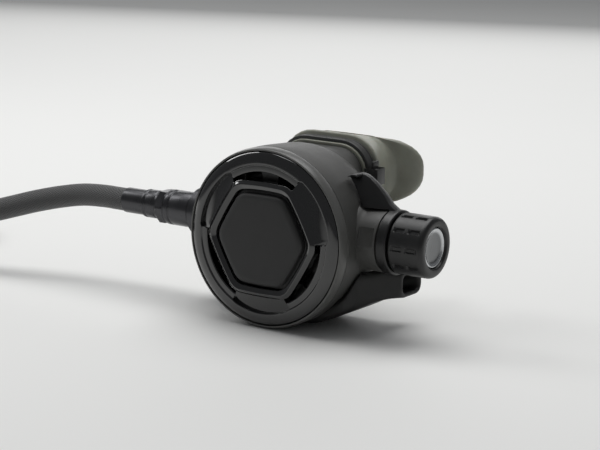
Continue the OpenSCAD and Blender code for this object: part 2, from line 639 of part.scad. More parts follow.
module exhaust_tee() color("#1a1a1a") place() difference() {
    intersection() {
        front_plate(sump_y - 1, far) tee_front(0);
        floor_plate(-foot_z, far) tee_plan(0);
        tee_side(0);
    }
    intersection() {
        front_plate(sump_y - 1, far) tee_front(tee_wall);
        floor_plate(-foot_z, far) tee_plan(tee_wall);
        tee_side(tee_wall);
    }
}

// --- mouthpiece ---
module shield_band(r0, r1) floor_plate(-far, 2 * far) translate([0, boot_l + neck_l + shield_bend_r])
    difference() {
        circle(r1);
        circle(r0);
    }
shield_bend_r = (pow(shield_x, 2) + pow(shield_sag, 2)) / (2 * shield_sag);

module mouthpiece() color("#4a4b40") place() mouth_frame() difference() {
    union() {
        front_plate(0, boot_l) oblong(tube_w + 2 * rubber_t, tube_h + 2 * rubber_t, tube_round + rubber_t);
        // the boot tapers from the rim behind the tie to the neck
        hull() {
            for (x = [-1, 1], z = [-1, 1]) {
                front_plate(rim_y, 1.2) translate([x * (tube_w / 2 - tube_round), z * (tube_h / 2 - tube_round)])
                    circle(tube_round + 3.6, $fn = side_fn);
                front_plate(boot_l + neck_l - 1, 1)
                    translate([x * (tube_w / 2 - 14), z * (tube_h / 2 - 11.5)]) circle(11.8, $fn = side_fn);
            }
        }
        intersection() {
            front_plate(boot_l, far) oblong(2 * shield_x, shield_h, 13);
            shield_band(shield_bend_r - shield_t, shield_bend_r);
            floor_plate(-far, 2 * far) translate([-far, 0]) square([2 * far, boot_l + neck_l + shield_sag + 1]);
        }
        // bite tabs, from inside the shield
        intersection() {
            for (s = [-1, 1]) translate([s * (tab_x0 + tab_x1) / 2 - (tab_x1 - tab_x0) / 2, boot_l, -tab_h / 2])
                cube([tab_x1 - tab_x0, mouth_l - boot_l, tab_h]);
            shield_band(0, shield_bend_r - 1);
        }
    }
    front_plate(-1, tube_l + 1) tube_shape(-0.05);
    front_plate(tube_l - 0.5, far) oblong(32, 14, 6.9);
}

module mouthpiece_tie() color("#161616") place() mouth_frame() {
    front_plate(tie_y + 0.2, tie_w) difference() {
        oblong(tube_w + 2 * (rubber_t + tie_t), tube_h + 2 * (rubber_t + tie_t),
            tube_round + rubber_t + tie_t);
        oblong(tube_w + 2 * rubber_t + 0.1, tube_h + 2 * rubber_t + 0.1, tube_round + 0.05 + rubber_t);
    }
    translate([tube_w / 2 + rubber_t + 0.1, tie_y - 0.6, 1]) cube([5, tie_w + 0.9, 7.6]);
}

// --- hose fittings at the inlet ---
module swivel_nut() color("#3c3c3c") place() difference() {
    union() {
        intersection() {
            bush(5.4, nut_r - 0.2, nut_back_x, nut_back_x + 4.2);
            translate([nut_back_x - 1, valve_back, valve_rise]) rotate([0, 90, 0])
                cylinder(h = 6, r = nut_r + 0.2, $fn = 6);
        }
        bush(5.4, nut_r, nut_back_x + 4, flange_x - 0.3);
    }
    bush(0, inlet_r + 0.1, stem_x - 0.1, flange_x);
}

module hose_stem() color("#55565a") place() spin_x() polygon([
    [2.4, exit_x + 2], [2.9, exit_x + 2], [2.9, shoulder_x], [ferrule_r + 0.5, shoulder_x],
    [ferrule_r + 0.7, shoulder_x + 0.4], [ferrule_r + 0.7, nut_back_x - 0.1],
    [5.3, nut_back_x - 0.1], [5.3, stem_x], [inlet_r - 0.2, stem_x], [inlet_r - 0.2, inlet_x - 0.1],
    [5.6, inlet_x - 0.1], [5.6, inlet_x - 1.3], [4.2, inlet_x - 1.3], [4.2, inlet_x - 0.1],
    [2.4, inlet_x - 0.1]]);

module inlet_oring() color("#101010") place()
    translate([inlet_x - 0.68, valve_back, valve_rise]) rotate([0, 90, 0]) torus(4.9, 1.1);

module ferrule(l) rotate_extrude() polygon([[3, 0], [ferrule_r - 0.3, 0], [ferrule_r, 0.3],
    [ferrule_r, l - 0.3], [ferrule_r - 0.3, l], [3, l]]);

module near_ferrule() color("#2b2b2b") place()
    translate([exit_x, valve_back, valve_rise]) rotate([0, 90, 0]) ferrule(ferrule_l);

// --- hose ---
module hose() color("#262626") place() {
    translate([exit_x, valve_back, valve_rise]) sweep(route, hose_r, 12, [0, 0, 1]);
    translate([tail_x, tail_y, coil_z]) sweep(tail, hose_r, 12, [0, 0, 1]);
}

module hose_coil() color("#262626") place()
    translate([exit_x + coil_c[0], valve_back + coil_c[1], coil_z]) rotate_extrude() {
        translate([coil_r0, 0]) circle(hose_r);
        translate([coil_r1, 0]) circle(hose_r);
        translate([coil_r0, -hose_r]) square([coil_r1 - coil_r0, hose_d]);
    }

module coil_tie() color("#101010") place()
    translate([exit_x + coil_c[0], valve_back + coil_c[1], coil_z]) rotate([0, 0, -135])
        rotate([90, 0, 0]) linear_extrude(10, center = true) difference() {
            translate([coil_r0 - hose_r - 0.4 - strap_t, -hose_r - strap_t])
                square([coil_r1 - coil_r0 + hose_d + 0.5 + 2 * strap_t, hose_d + 2 * strap_t + 0.05]);
            translate([coil_r0 - hose_r - 0.4, -hose_r])
                square([coil_r1 - coil_r0 + hose_d + 0.5, hose_d + 0.05]);
        }

module end_frame(y) translate([tail_x, y, end_z]) rotate([-90, 0, 0]) children();

module far_ferrule() color("#2b2b2b") place() end_frame(ferrule_y) ferrule(ferrule_l);

module male_connector() color("#c9cccf") place() {
    end_frame(port_y) difference() {
        union() {
            rotate(30) cylinder(h = hex_l, r = port_af / 2 / cos(30), $fn = 6);
            cylinder(h = hex_l + neck_port_l, r = 3.9);
        }
        translate([0, 0, -1]) cylinder(h = far, r = 2.4);
    }
    end_frame(thread_y) difference() {
        cylinder(h = port_l, r = port_d / 2);
        translate([0, 0, -1]) cylinder(h = far, r = 2.4);
    }
}

module connector_oring() color("#101010") place()
    end_frame(thread_y - neck_port_l / 2) torus(4.75, 1.6);

case();
front_cover();
bezel();
purge_button();
button_spring();
slip_ring();
diaphragm();
diaphragm_disc();
demand_lever();
valve_barrel();
barrel_oring();
orifice();
orifice_oring();
poppet();
poppet_seat();
poppet_spring();
spring_pad();
adjust_spindle();
packing_nut();
spindle_oring();
barrel_nut();
knob();
knob_cap();
knob_screw();
venturi_lever();
flow_vane();
exhaust_valve();
exhaust_tee();
mouthpiece();
mouthpiece_tie();
swivel_nut();
hose_stem();
inlet_oring();
near_ferrule();
hose();
hose_coil();
coil_tie();
far_ferrule();
male_connector();
connector_oring();
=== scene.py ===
"""Dresses the frame of a diving demand regulator: its case, cover, valve, mouthpiece and hose.

Lengths in the shapes are millimetres from the middle of the cover's edge: X runs along the valve
towards the adjusting knob, Y from the purge button to the mouthpiece, and Z is up.
"""

import math

import bmesh
import bpy
from mathutils import Matrix, Vector


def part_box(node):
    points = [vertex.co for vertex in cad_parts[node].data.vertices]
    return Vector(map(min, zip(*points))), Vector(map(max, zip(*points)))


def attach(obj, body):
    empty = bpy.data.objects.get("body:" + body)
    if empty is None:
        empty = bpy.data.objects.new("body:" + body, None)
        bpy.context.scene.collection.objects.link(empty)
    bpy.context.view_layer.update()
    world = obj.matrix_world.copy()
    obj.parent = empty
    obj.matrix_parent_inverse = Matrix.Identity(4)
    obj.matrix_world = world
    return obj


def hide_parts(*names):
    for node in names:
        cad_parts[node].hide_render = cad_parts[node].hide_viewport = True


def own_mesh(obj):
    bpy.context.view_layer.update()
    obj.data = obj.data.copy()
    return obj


bl_info = {
    "name": "Demand Regulator",
    "version": (1, 0, 0),
    "blender": (4, 5, 0),
    "location": "View3D > Sidebar > Regulator",
    "description": "Builds the finished pieces of a diving demand regulator over its frame",
    "category": "Object",
}

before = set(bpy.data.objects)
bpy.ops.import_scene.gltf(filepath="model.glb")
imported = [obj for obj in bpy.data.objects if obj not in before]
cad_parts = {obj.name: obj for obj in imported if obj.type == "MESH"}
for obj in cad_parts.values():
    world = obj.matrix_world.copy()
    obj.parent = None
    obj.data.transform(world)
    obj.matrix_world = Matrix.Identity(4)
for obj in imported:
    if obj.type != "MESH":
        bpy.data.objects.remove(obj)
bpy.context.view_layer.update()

MM = 0.001
COVER = Vector((1.1, -45.0601, 39.5))       # middle of the cover's edge in the frame
TO_FRAME = Matrix.Scale(MM, 4) @ Matrix.Translation(COVER)
VALVE_Y, VALVE_Z = 26.0, 1.7                # the valve's axis
# the mouthpiece's own axes: Y runs along its bore from the case, X across and Z up
MOUTH = Matrix.Translation((0, 46, 21.5)) @ Matrix.Rotation(math.radians(2.5), 4, "X")
CUT_WELD, WELD, SLIVER = 0.002, 0.003, 0.0005   # vertices and edges closer than this are merged

CASE_R, FRONT_Y, BACK_Y = 39.3, 6.4, 44.4   # the case's radius, front edge and back
WALL = 2.2                                  # thickness of the case and of its tube
TUBE = (42, 28.4, 11.5)                     # width, height and corner of the mouthpiece's tube
TUBE_ROOT = -1.9                            # where the case's shoulder meets the tube
STRAP_SEAT = (45, 31.4, 13)                 # width, height and corner of what the strap holds
INLET_BORE, KNOB_BORE = 9.1, 10.1           # radii of the case's bore at its two ends
BOSS_END = 48                               # how far both bosses reach along the valve
CASE_STEPS = 160                            # faces round the case and the cover

SKIRT_Y = 2.7                               # back of the bezel
RIM_IN, RIM_TOP, RIM_OUT = (23.2, 6.5), (25.5, 7.0), (27.4, 7.5)    # size, corner of each hexagon
VENT_R, VENT_HALF = 29.1, 32.5              # outer radius, and half of the angle that a vent spans
LEDGE_R = 32.1                              # inner edge of the polished ring
FACET_R = {30: 33.2, 150: 32.6, 270: 32.4}  # outer edge of each facet

HOSE_R, FERRULE_R = 5.3, 5.85               # outer radii
EXIT = Vector((-94, VALVE_Y, VALVE_Z))      # where the hose leaves its ferrule
COIL = Vector((-265, 30))                   # middle of the coil
COIL_IN, COIL_STEP = 47, 11                 # radius where the coil starts, and its growth in a turn
COIL_Z = -33.4                              # height of the coil's middle
TAIL_X, END_Z = -325.75, -32.4              # where the hose's end and its fittings lie
HEX_TURN = math.pi / 3                      # between two corners of a hexagon

# centre, direction, and the side from which angles are counted
AXES = {
    "cover": (Vector((0, 0, 0)), Vector((0, 1, 0)), Vector((1, 0, 0))),
    "valve": (Vector((0, VALVE_Y, VALVE_Z)), Vector((1, 0, 0)), Vector((0, 0, 1))),
    "port": (Vector((TAIL_X, 0, END_Z)), Vector((0, 1, 0)), Vector((1, 0, 0))),
}


# ---------------------------------------------------------------------------------------------
# Sizes and colours that a user would change
# ---------------------------------------------------------------------------------------------
def linear(code):
    """The linear colour of a code written as rrggbb."""
    parts = [int(code[k:k + 2], 16) / 255 for k in (0, 2, 4)]
    return tuple(v / 12.92 if v <= 0.04045 else ((v + 0.055) / 1.055) ** 2.4 for v in parts)


def tint(name, text, code):
    return bpy.props.FloatVectorProperty(
        name=name, description=text, default=linear(code), subtype="COLOR", size=3, min=0, max=1)


def length(name, text, value):
    return bpy.props.FloatProperty(
        name=name, description=text, default=value * MM, min=0, precision=5, unit="LENGTH",
        subtype="DISTANCE")


class RegulatorSizes(bpy.types.PropertyGroup):
    """Small sizes of the moulded and turned pieces"""

    grain: length("Moulded grain", "Size of the fine texture on matt mouldings", 0.5)
    groove: length("Knob groove depth", "Depth of the grip grooves in the knob", 0.85)
    dish: length("Facet dish", "How far the three bezel facets are dished", 0.15)
    braid: length("Braid pitch", "Distance between crossings of the hose's braid", 1.7)
    crown: length("Button crown", "How far the middle of the button's face stands proud", 0.25)
    thread: length("Thread pitch", "Pitch of the thread at the hose's far end", 1.058)


class RegulatorColours(bpy.types.PropertyGroup):
    """Colours of the regulator's finishes"""

    case: tint("Case", "Matt moulding of the case", "434341")
    cover: tint("Cover band", "Matt moulding of the cover's band", "575755")
    bezel: tint("Bezel", "Polished ring round the button", "0a0a0a")
    button: tint("Button", "Soft-touch face of the purge button", "202020")
    knob: tint("Knob", "Adjusting knob", "1a1a1a")
    lever: tint("Lever", "Pre-dive lever", "121212")
    tee: tint("Exhaust tee", "Rubber of the exhaust tee", "141413")
    mouth: tint("Mouthpiece", "Silicone of the mouthpiece", "8b8c80")
    tie: tint("Ties", "Nylon of the straps", "3a3a39")
    hose: tint("Hose", "Braid of the hose", "3a3a3a")
    plated: tint("Black plating", "Plated fittings of the hose", "505052")
    chrome: tint("Chrome", "Chromed brass of the valve", "c8cacc")
    steel: tint("Steel", "Springs, disc and lever", "b9bbbd")
    acetal: tint("Acetal", "Poppet and slip ring", "d9d5c8")
    rubber: tint("Seals", "Rubber of the seals and the exhaust valve", "151515")
    floor: tint("Floor", "Studio floor", "e9e9e7")


# ---------------------------------------------------------------------------------------------
# Finishes
# ---------------------------------------------------------------------------------------------
MIX_A, MIX_B, MIX_RESULT = 6, 7, 2          # a colour mix node's sockets


class Flow:
    """One output in a finish's nodes; arithmetic on it adds Math nodes."""

    def __init__(self, finish, socket):
        self.finish = finish
        self.socket = socket

    def maths(self, operation, *values):
        return self.finish.add("ShaderNodeMath", {"operation": operation}, dict(enumerate(values)))

    def __add__(self, other):
        return self.maths("ADD", self, other)

    def __radd__(self, other):
        return self.maths("ADD", other, self)

    def __sub__(self, other):
        return self.maths("SUBTRACT", self, other)

    def __rsub__(self, other):
        return self.maths("SUBTRACT", other, self)

    def __mul__(self, other):
        return self.maths("MULTIPLY", self, other)

    def __rmul__(self, other):
        return self.maths("MULTIPLY", other, self)

    def __truediv__(self, other):
        return self.maths("DIVIDE", self, other)

    def __pow__(self, other):
        return self.maths("POWER", self, other)

    def __abs__(self):
        return self.maths("ABSOLUTE", self)

    def sine(self):
        return self.maths("SINE", self)

    def part(self):
        return self.maths("FRACT", self)


class Finish:
    """A material whose surface is worked out by nodes."""

    def __init__(self, name, colour, roughness, **plain):
        self.material = bpy.data.materials.new(name)
        self.material.use_nodes = True
        self.tree = self.material.node_tree
        self.shader = self.tree.nodes["Principled BSDF"]
        self.set("Base Color", (*colour, 1))
        self.set("Roughness", roughness)
        for key, value in plain.items():
            self.set(key.replace("_", " "), value)
        self.material.diffuse_color = (*colour, 1)

    def feed(self, socket, value):
        if isinstance(value, Flow):
            self.tree.links.new(value.socket, socket)
        else:
            socket.default_value = value

    def set(self, name, value):
        self.feed(self.shader.inputs[name], value)

    def add(self, kind, settings=None, inputs=None, out=0):
        """Adds a node of that type, with its settings first and then its sockets."""
        node = self.tree.nodes.new(kind)
        for key, value in (settings or {}).items():
            setattr(node, key, value)
        for key, value in (inputs or {}).items():
            self.feed(node.inputs[key], value)
        return Flow(self, node.outputs[out])

    def place(self):
        """Position on the piece, in metres."""
        return self.add("ShaderNodeTexCoord", out="Object")

    def axes(self, vector):
        """The three parts of a vector."""
        node = self.tree.nodes.new("ShaderNodeSeparateXYZ")
        self.feed(node.inputs[0], vector)
        return [Flow(self, socket) for socket in node.outputs]

    def cloud(self, size, detail=3.0, roughness=0.55):
        """Noise from 0 to 1 with features of that size in metres."""
        return self.add("ShaderNodeTexNoise", None, {
            "Vector": self.place(), "Scale": 1 / size, "Detail": detail, "Roughness": roughness})

    def between(self, value, low, high, to_low=0.0, to_high=1.0):
        """The value's place between two others, carried over to a second span."""
        return self.add("ShaderNodeMapRange", {"clamp": True}, {
            "Value": value, "From Min": low, "From Max": high, "To Min": to_low,
            "To Max": to_high})

    def blend(self, factor, first, second):
        """Mixes two colours."""
        a, b = (c if isinstance(c, Flow) else (*c, 1) for c in (first, second))
        return self.add("ShaderNodeMix", {"data_type": "RGBA"}, {
            "Factor": factor, MIX_A: a, MIX_B: b}, out=MIX_RESULT)

    def reach(self, about):
        """Distance from the cover's or the valve's axis, in metres."""
        x, y, z = self.axes(self.place())
        middle = TO_FRAME @ AXES[about][0]
        across = x - middle.x if about == "cover" else y - middle.y
        return (across * across + (z - middle.z) ** 2) ** 0.5

    def relief(self, height, distance):
        """Raises the surface by the height, in metres at 1."""
        self.set("Normal", self.add("ShaderNodeBump", None, {
            "Height": height, "Distance": distance, "Strength": 1.0}))


def shaded(colour, by):
    """The colour made lighter or darker."""
    return tuple(min(1.0, max(0.0, c * by)) for c in colour)


def moulded(name, colour, roughness, grain, depth, spread=0.08, web=0, **plain):
    """Moulded plastic: a fine spark-eroded grain, faint flow marks and handling marks.

    Within the radius web of the cover's axis it is darker: painted shade on the web that lies
    behind the bezel's vents.
    """
    f = Finish(name, colour, roughness, **plain)
    broad = f.cloud(0.018, 4.0)
    fine = f.cloud(grain, 2.0)
    marks = f.cloud(0.006, 6.0, 0.7)
    tone = f.blend(broad * 0.6 + marks * 0.4, shaded(colour, 0.86), shaded(colour, 1.16))
    # painted shade: nearly black within the radius web of the cover's axis, for the shade behind
    # the bezel's vents
    if web:
        painted_dark_fade = f.between(f.reach("cover"), web, web * 1.02)
        tone = f.blend(painted_dark_fade, shaded(colour, 0.08), tone)
    f.set("Base Color", tone)
    f.set("Roughness", f.between(marks * 0.6 + fine * 0.4, 0.3, 0.7, roughness - spread,
                                 roughness + spread))
    f.relief(fine * 0.75 + f.cloud(grain * 3, 2.0) * 0.25, depth)
    return f


def polished(name, colour, roughness, **plain):
    """Polished plastic: nearly clear of grain, with hairline scuffs that dull it in places."""
    f = Finish(name, colour, roughness, **plain)
    x, y, z = f.axes(f.place())
    hair = f.add("ShaderNodeTexNoise", None, {
        "Vector": f.add("ShaderNodeCombineXYZ", None, {0: x * 0.2 + z, 1: y, 2: z * 0.2 - x}),
        "Scale": 900.0, "Detail": 2.0, "Distortion": 0.4})
    smear = f.cloud(0.012, 3.0)
    f.set("Roughness", f.between(hair * 0.5 + smear * 0.5, 0.35, 0.75, roughness, roughness + 0.12))
    f.relief(f.cloud(0.009, 1.0), 0.00002)
    return f


def rubbery(name, colour, roughness, grain=0.0009, depth=0.00002, dust=0.12, **plain):
    """Rubber or silicone: soft sheen, a faint bloom and dust in patches."""
    f = Finish(name, colour, roughness, **plain)
    bloom = f.cloud(0.011, 5.0, 0.6)
    f.set("Base Color", f.blend(f.between(bloom, 0.35, 0.75), shaded(colour, 0.92),
                                shaded(colour, 1.0 + dust)))
    f.set("Roughness", f.between(bloom, 0.3, 0.7, roughness - 0.06, roughness + 0.08))
    f.relief(f.cloud(grain, 2.0) * 0.6 + f.cloud(0.004, 2.0) * 0.4, depth)
    return f


def metal(name, colour, roughness, turned_marks=False, rim=0):
    """Plated metal, with marks that run round the valve where it was turned.

    Within the radius rim of the valve's axis it is darker, easing back to its own tone between 0.86
    of that radius and the radius itself: a painted reflection, dark in the middle and bright
    towards the edge.
    """
    f = Finish(name, colour, roughness, Metallic=1.0)
    if turned_marks:
        x = f.axes(f.place())[0]
        run = f.add("ShaderNodeCombineXYZ", None, {0: x, 1: f.reach("valve")})
        lines = f.add("ShaderNodeTexNoise", None, {"Vector": run, "Scale": 4200.0, "Detail": 2.0})
    else:
        lines = f.cloud(0.0012, 4.0)
    spots = f.cloud(0.005, 4.0, 0.65)
    f.set("Roughness", f.between(lines * 0.5 + spots * 0.5, 0.3, 0.7, max(0.03, roughness - 0.07),
                                 roughness + 0.09))
    tone = f.blend(spots, shaded(colour, 0.88), shaded(colour, 1.05))
    # painted reflection: darker within the radius rim, bright towards it
    if rim:
        painted_dark_fade = f.between(f.reach("valve"), rim * 0.86, rim)
        tone = f.blend(painted_dark_fade, shaded(colour, 0.3), tone)
    f.set("Base Color", tone)
    f.relief(lines, 0.000006)
    return f


def braided(name, colour, pitch, strands=28):
    """Braided jacket: two families of strands that cross, on the piece's own length and turn."""
    f = Finish(name, colour, 0.5, Sheen_Weight=0.15, Sheen_Roughness=0.5)
    u, v, _ = f.axes(f.add("ShaderNodeUVMap", {"uv_map": "strands"}))
    a = u / (2 * pitch) + v * (strands / 2)
    b = u / (2 * pitch) - v * (strands / 2)
    over = ((a * (2 * math.pi)).sine() * (b * (2 * math.pi)).sine()) * 0.5 + 0.5
    left = abs((a * 2).part() - 0.5) * 2
    right = abs((b * 2).part() - 0.5) * 2
    strand = (1 - left ** 3) * over + (1 - right ** 3) * (1 - over)
    pit = (left * right) ** 2
    stretched = f.add("ShaderNodeCombineXYZ", None, {0: u * 900, 1: v * 500})
    tow = f.add("ShaderNodeTexNoise", None, {"Vector": stretched, "Scale": 1.0, "Detail": 3.0})
    # painted highlight and painted shade: each strand is lighter along its middle, and darker at
    # its edges and in the pits between crossings
    f.set("Base Color", f.blend(f.between(strand * 0.8 + tow * 0.35 - pit * 0.7, 0.15, 0.95),
                                shaded(colour, 0.16), shaded(colour, 2.1)))
    f.set("Roughness", f.between(tow, 0.3, 0.7, 0.4, 0.62))
    f.relief(strand - pit + tow * 0.15, 0.0003)
    return f


FINISHES = {}


def surface(slot):
    """The material of that name; all of them are made when the first is asked for."""
    if not FINISHES:
        make_finishes()
    return FINISHES[slot]


def make_finishes():
    """Makes each finish; most of the names are the record's material slots."""
    c = bpy.context.scene.regulator_colours
    s = bpy.context.scene.regulator_sizes
    made = {
        "case_black": moulded("case_black", c.case, 0.5, s.grain, 0.00004),
        # the cover's web gets painted shade within 33.5 mm of the cover's axis
        "cover_grey": moulded("cover_grey", c.cover, 0.33, s.grain * 0.8, 0.000015, web=0.0335),
        "gloss_black": polished("gloss_black", c.bezel, 0.06, Coat_Weight=1.0,
                                Coat_Roughness=0.04),
        "button_grey": moulded("button_grey", c.button, 0.55, s.grain * 0.6, 0.000018, 0.05,
                               Sheen_Weight=0.1),
        "lever_black": moulded("lever_black", c.lever, 0.34, s.grain * 0.9, 0.000025),
        "knob_black": moulded("knob_black", c.knob, 0.36, s.grain * 0.9, 0.00002),
        "tee_rubber": rubbery("tee_rubber", c.tee, 0.5),
        "mouth_silicone": rubbery("mouth_silicone", c.mouth, 0.42, 0.0007, 0.000015, 0.16,
                                  Subsurface_Weight=0.06, Subsurface_Scale=0.002),
        "soft_silicone": rubbery("soft_silicone", c.acetal, 0.45, 0.0007, 0.00001),
        "black_rubber": rubbery("black_rubber", c.rubber, 0.42),
        "hose_braid": braided("hose_braid", c.hose, s.braid),
        "tie_nylon": moulded("tie_nylon", c.tie, 0.38, s.grain, 0.00002),
        "black_plated": metal("black_plated", c.plated, 0.3, True),
        "plated_brass": metal("plated_brass", c.chrome, 0.16),
        "stainless": metal("stainless", c.steel, 0.26),
        # painted reflection on the knob's disc: darker within about 6.2 mm of the valve's axis,
        # bright towards its edge
        "bright_disc": metal("bright_disc", c.chrome, 0.17, True, 0.0072),
        "white_acetal": moulded("white_acetal", c.acetal, 0.4, s.grain, 0.00001),
    }
    FINISHES.update({name: f.material for name, f in made.items()})


# ---------------------------------------------------------------------------------------------
# Modelling
# ---------------------------------------------------------------------------------------------
def softened(points, reach, closed=True, steps=4):
    """The outline with rounded corners; a third number on a point is its own cut-back."""
    out = []
    for k, point in enumerate(points):
        p = Vector(point[:2])
        cut = point[2] if len(point) > 2 else reach
        if cut == 0 or (not closed and k in (0, len(points) - 1)):
            out.append(p)
            continue
        a = Vector(points[k - 1][:2]) - p
        b = Vector(points[(k + 1) % len(points)][:2]) - p
        cut = min(cut, 0.48 * a.length, 0.48 * b.length)
        start, end = p + cut * a.normalized(), p + cut * b.normalized()
        for n in range(steps + 1):
            t = n / steps
            out.append((1 - t) ** 2 * start + 2 * t * (1 - t) * p + t * t * end)
    return out


def evened(points, count):
    """The closed outline as that many points, evenly spaced from its first."""
    ends = points[1:] + points[:1]
    run = [0.0]
    for p, q in zip(points, ends):
        run.append(run[-1] + (q - p).length)
    out, k = [], 0
    for n in range(count):
        at = run[-1] * n / count
        while run[k + 1] < at:
            k += 1
        share = (at - run[k]) / max(1e-9, run[k + 1] - run[k])
        out.append(points[k].lerp(ends[k], share))
    return out


def oblong(width, height, corner):
    """An oblong's outline, always with the same number of points."""
    arc, side = 7, 5    # steps round each corner, and points along each side
    corner = min(corner, width / 2 - 0.01, height / 2 - 0.01)
    centres = [Vector((sx * (width / 2 - corner), sz * (height / 2 - corner)))
               for sx, sz in ((1, 1), (-1, 1), (-1, -1), (1, -1))]
    out = []
    for k, centre in enumerate(centres):
        for n in range(arc + 1):
            a = math.radians(90 * (k + n / arc))
            out.append(centre + corner * Vector((math.cos(a), math.sin(a))))
        turn = math.radians(90 * (k + 1))
        start = centres[(k + 1) % 4] + corner * Vector((math.cos(turn), math.sin(turn)))
        last = out[-1]
        out += [last.lerp(start, n / (side + 1)) for n in range(1, side + 1)]
    return out


def mouth_loop(width, height, corner, y):
    """An oblong across the mouthpiece's axis, that far along it."""
    return [MOUTH @ Vector((p.x, y, p.y)) for p in oblong(width, height, corner)]


def grown(shape, by):
    """A width, height and corner grown by that much on every side."""
    width, height, corner = shape
    return width + 2 * by, height + 2 * by, corner + by


def about_cover(r, degrees, y):
    """The point at that radius, angle and depth about the cover's axis."""
    a = math.radians(degrees)
    return Vector((r * math.cos(a), y, r * math.sin(a)))


def turned(bm, profile, about, steps=128, closed=True):
    """Spins a profile of (radius, distance along) points about one of AXES."""
    centre, along, out = AXES[about]
    verts = [bm.verts.new(centre + along * p[1] + out * p[0]) for p in profile]
    edges = [bm.edges.new(pair) for pair in zip(verts, verts[1:] + (verts[:1] if closed else []))]
    bmesh.ops.spin(
        bm, geom=verts + edges, cent=centre, axis=along, dvec=(0, 0, 0), angle=2 * math.pi,
        steps=steps, use_merge=True, use_normal_flip=False, use_duplicate=False)


def about_axis(co, about):
    """(radius, angle, distance along) of a point about an axis."""
    centre, along, out = AXES[about]
    d = co - centre
    side = along.cross(out)
    return math.hypot(d.dot(out), d.dot(side)), math.atan2(d.dot(side), d.dot(out)), d.dot(along)


def set_radius(vert, about, radius):
    """Moves a vertex to that radius about an axis."""
    centre, along, _ = AXES[about]
    d = vert.co - centre
    across = d - along * d.dot(along)
    if across.length > 1e-6:
        vert.co += across.normalized() * (radius - across.length)


def lofted(bm, loops, capped=False):
    """Extrudes the first loop of points through the others, and returns each band's faces."""
    count = len(loops[0])
    verts = [bm.verts.new(p) for p in loops[0]]
    edges = [bm.edges.new((verts[k], verts[(k + 1) % count])) for k in range(count)]
    if capped:
        bmesh.ops.contextual_create(bm, geom=edges)
    bands = []
    for points in loops[1:]:
        made = bmesh.ops.extrude_edge_only(bm, edges=edges)["geom"]
        place = {v: k for k, v in enumerate(verts)}
        following = [None] * count
        for v in made:
            if isinstance(v, bmesh.types.BMVert):
                for edge in v.link_edges:
                    k = place.get(edge.other_vert(v))
                    if k is not None:
                        following[k] = v
        for v, p in zip(following, points):
            v.co = p
        bands.append([f for f in made if isinstance(f, bmesh.types.BMFace)])
        verts = following
        edges = [bm.edges.get((verts[k], verts[(k + 1) % count])) for k in range(count)]
    if capped:
        bmesh.ops.contextual_create(bm, geom=edges)
    return bands


def plate(bm, outline, y0, y1):
    """A flat outline of (x, z) points, extruded from depth y0 to y1."""
    verts = [bm.verts.new((p[0], y0, p[1])) for p in outline]
    edges = [bm.edges.new((verts[k - 1], verts[k])) for k in range(len(verts))]
    face = bmesh.ops.edgeloop_fill(bm, edges=edges)["faces"]
    raised = bmesh.ops.extrude_face_region(bm, geom=face)["geom"]
    bmesh.ops.translate(bm, vec=(0, y1 - y0, 0),
                        verts=[v for v in raised if isinstance(v, bmesh.types.BMVert)])
    bmesh.ops.recalc_face_normals(bm, faces=bm.faces)


def sliced(bm, point, away):
    """Cuts off what lies on the side that away points to, and closes the cut."""
    bmesh.ops.bisect_plane(bm, geom=bm.verts[:] + bm.edges[:] + bm.faces[:], plane_co=point,
                           plane_no=away, clear_outer=True, dist=1e-4)
    bmesh.ops.holes_fill(bm, edges=[e for e in bm.edges if e.is_boundary], sides=0)


def rounded_edges(bm, width, segments=3, over=30):
    """Rounds the edges that turn by more than that many degrees."""
    sharp = [e for e in bm.edges
             if len(e.link_faces) == 2 and e.calc_face_angle(0) > math.radians(over)]
    bmesh.ops.bevel(bm, geom=sharp, offset=width, offset_type="OFFSET", affect="EDGES",
                    segments=segments, profile=0.5, material=-1, clamp_overlap=True)


def block(*size):
    """A box of that size about the origin."""
    bm = bmesh.new()
    bmesh.ops.create_cube(bm, size=1)
    bmesh.ops.scale(bm, vec=size, verts=bm.verts)
    return bm


def moved(bm, matrix):
    bmesh.ops.transform(bm, matrix=matrix, verts=bm.verts)


def joined(bm, other):
    """Adds another bmesh to this one and frees it."""
    mesh = bpy.data.meshes.new("part")
    other.to_mesh(mesh)
    other.free()
    bm.from_mesh(mesh)
    bpy.data.meshes.remove(mesh)


def carved(body, *tools):
    """The body with the tools cut out of it; all are bmeshes, and are used up."""
    objects = []
    for bm in (body, *tools):
        bmesh.ops.remove_doubles(bm, verts=bm.verts, dist=CUT_WELD)
        bmesh.ops.recalc_face_normals(bm, faces=bm.faces)
        mesh = bpy.data.meshes.new("blank")
        bm.to_mesh(mesh)
        bm.free()
        obj = bpy.data.objects.new("blank", mesh)
        bpy.context.scene.collection.objects.link(obj)
        objects.append(obj)
    for tool in objects[1:]:
        cut = objects[0].modifiers.new("cut", "BOOLEAN")
        cut.operation = "DIFFERENCE"
        cut.solver = "EXACT"
        cut.object = tool
    bpy.context.view_layer.update()
    done = bpy.data.meshes.new_from_object(
        objects[0].evaluated_get(bpy.context.evaluated_depsgraph_get()))
    out = bmesh.new()
    out.from_mesh(done)
    bpy.data.meshes.remove(done)
    for obj in objects:
        mesh = obj.data
        bpy.data.objects.remove(obj)
        bpy.data.meshes.remove(mesh)
    return out


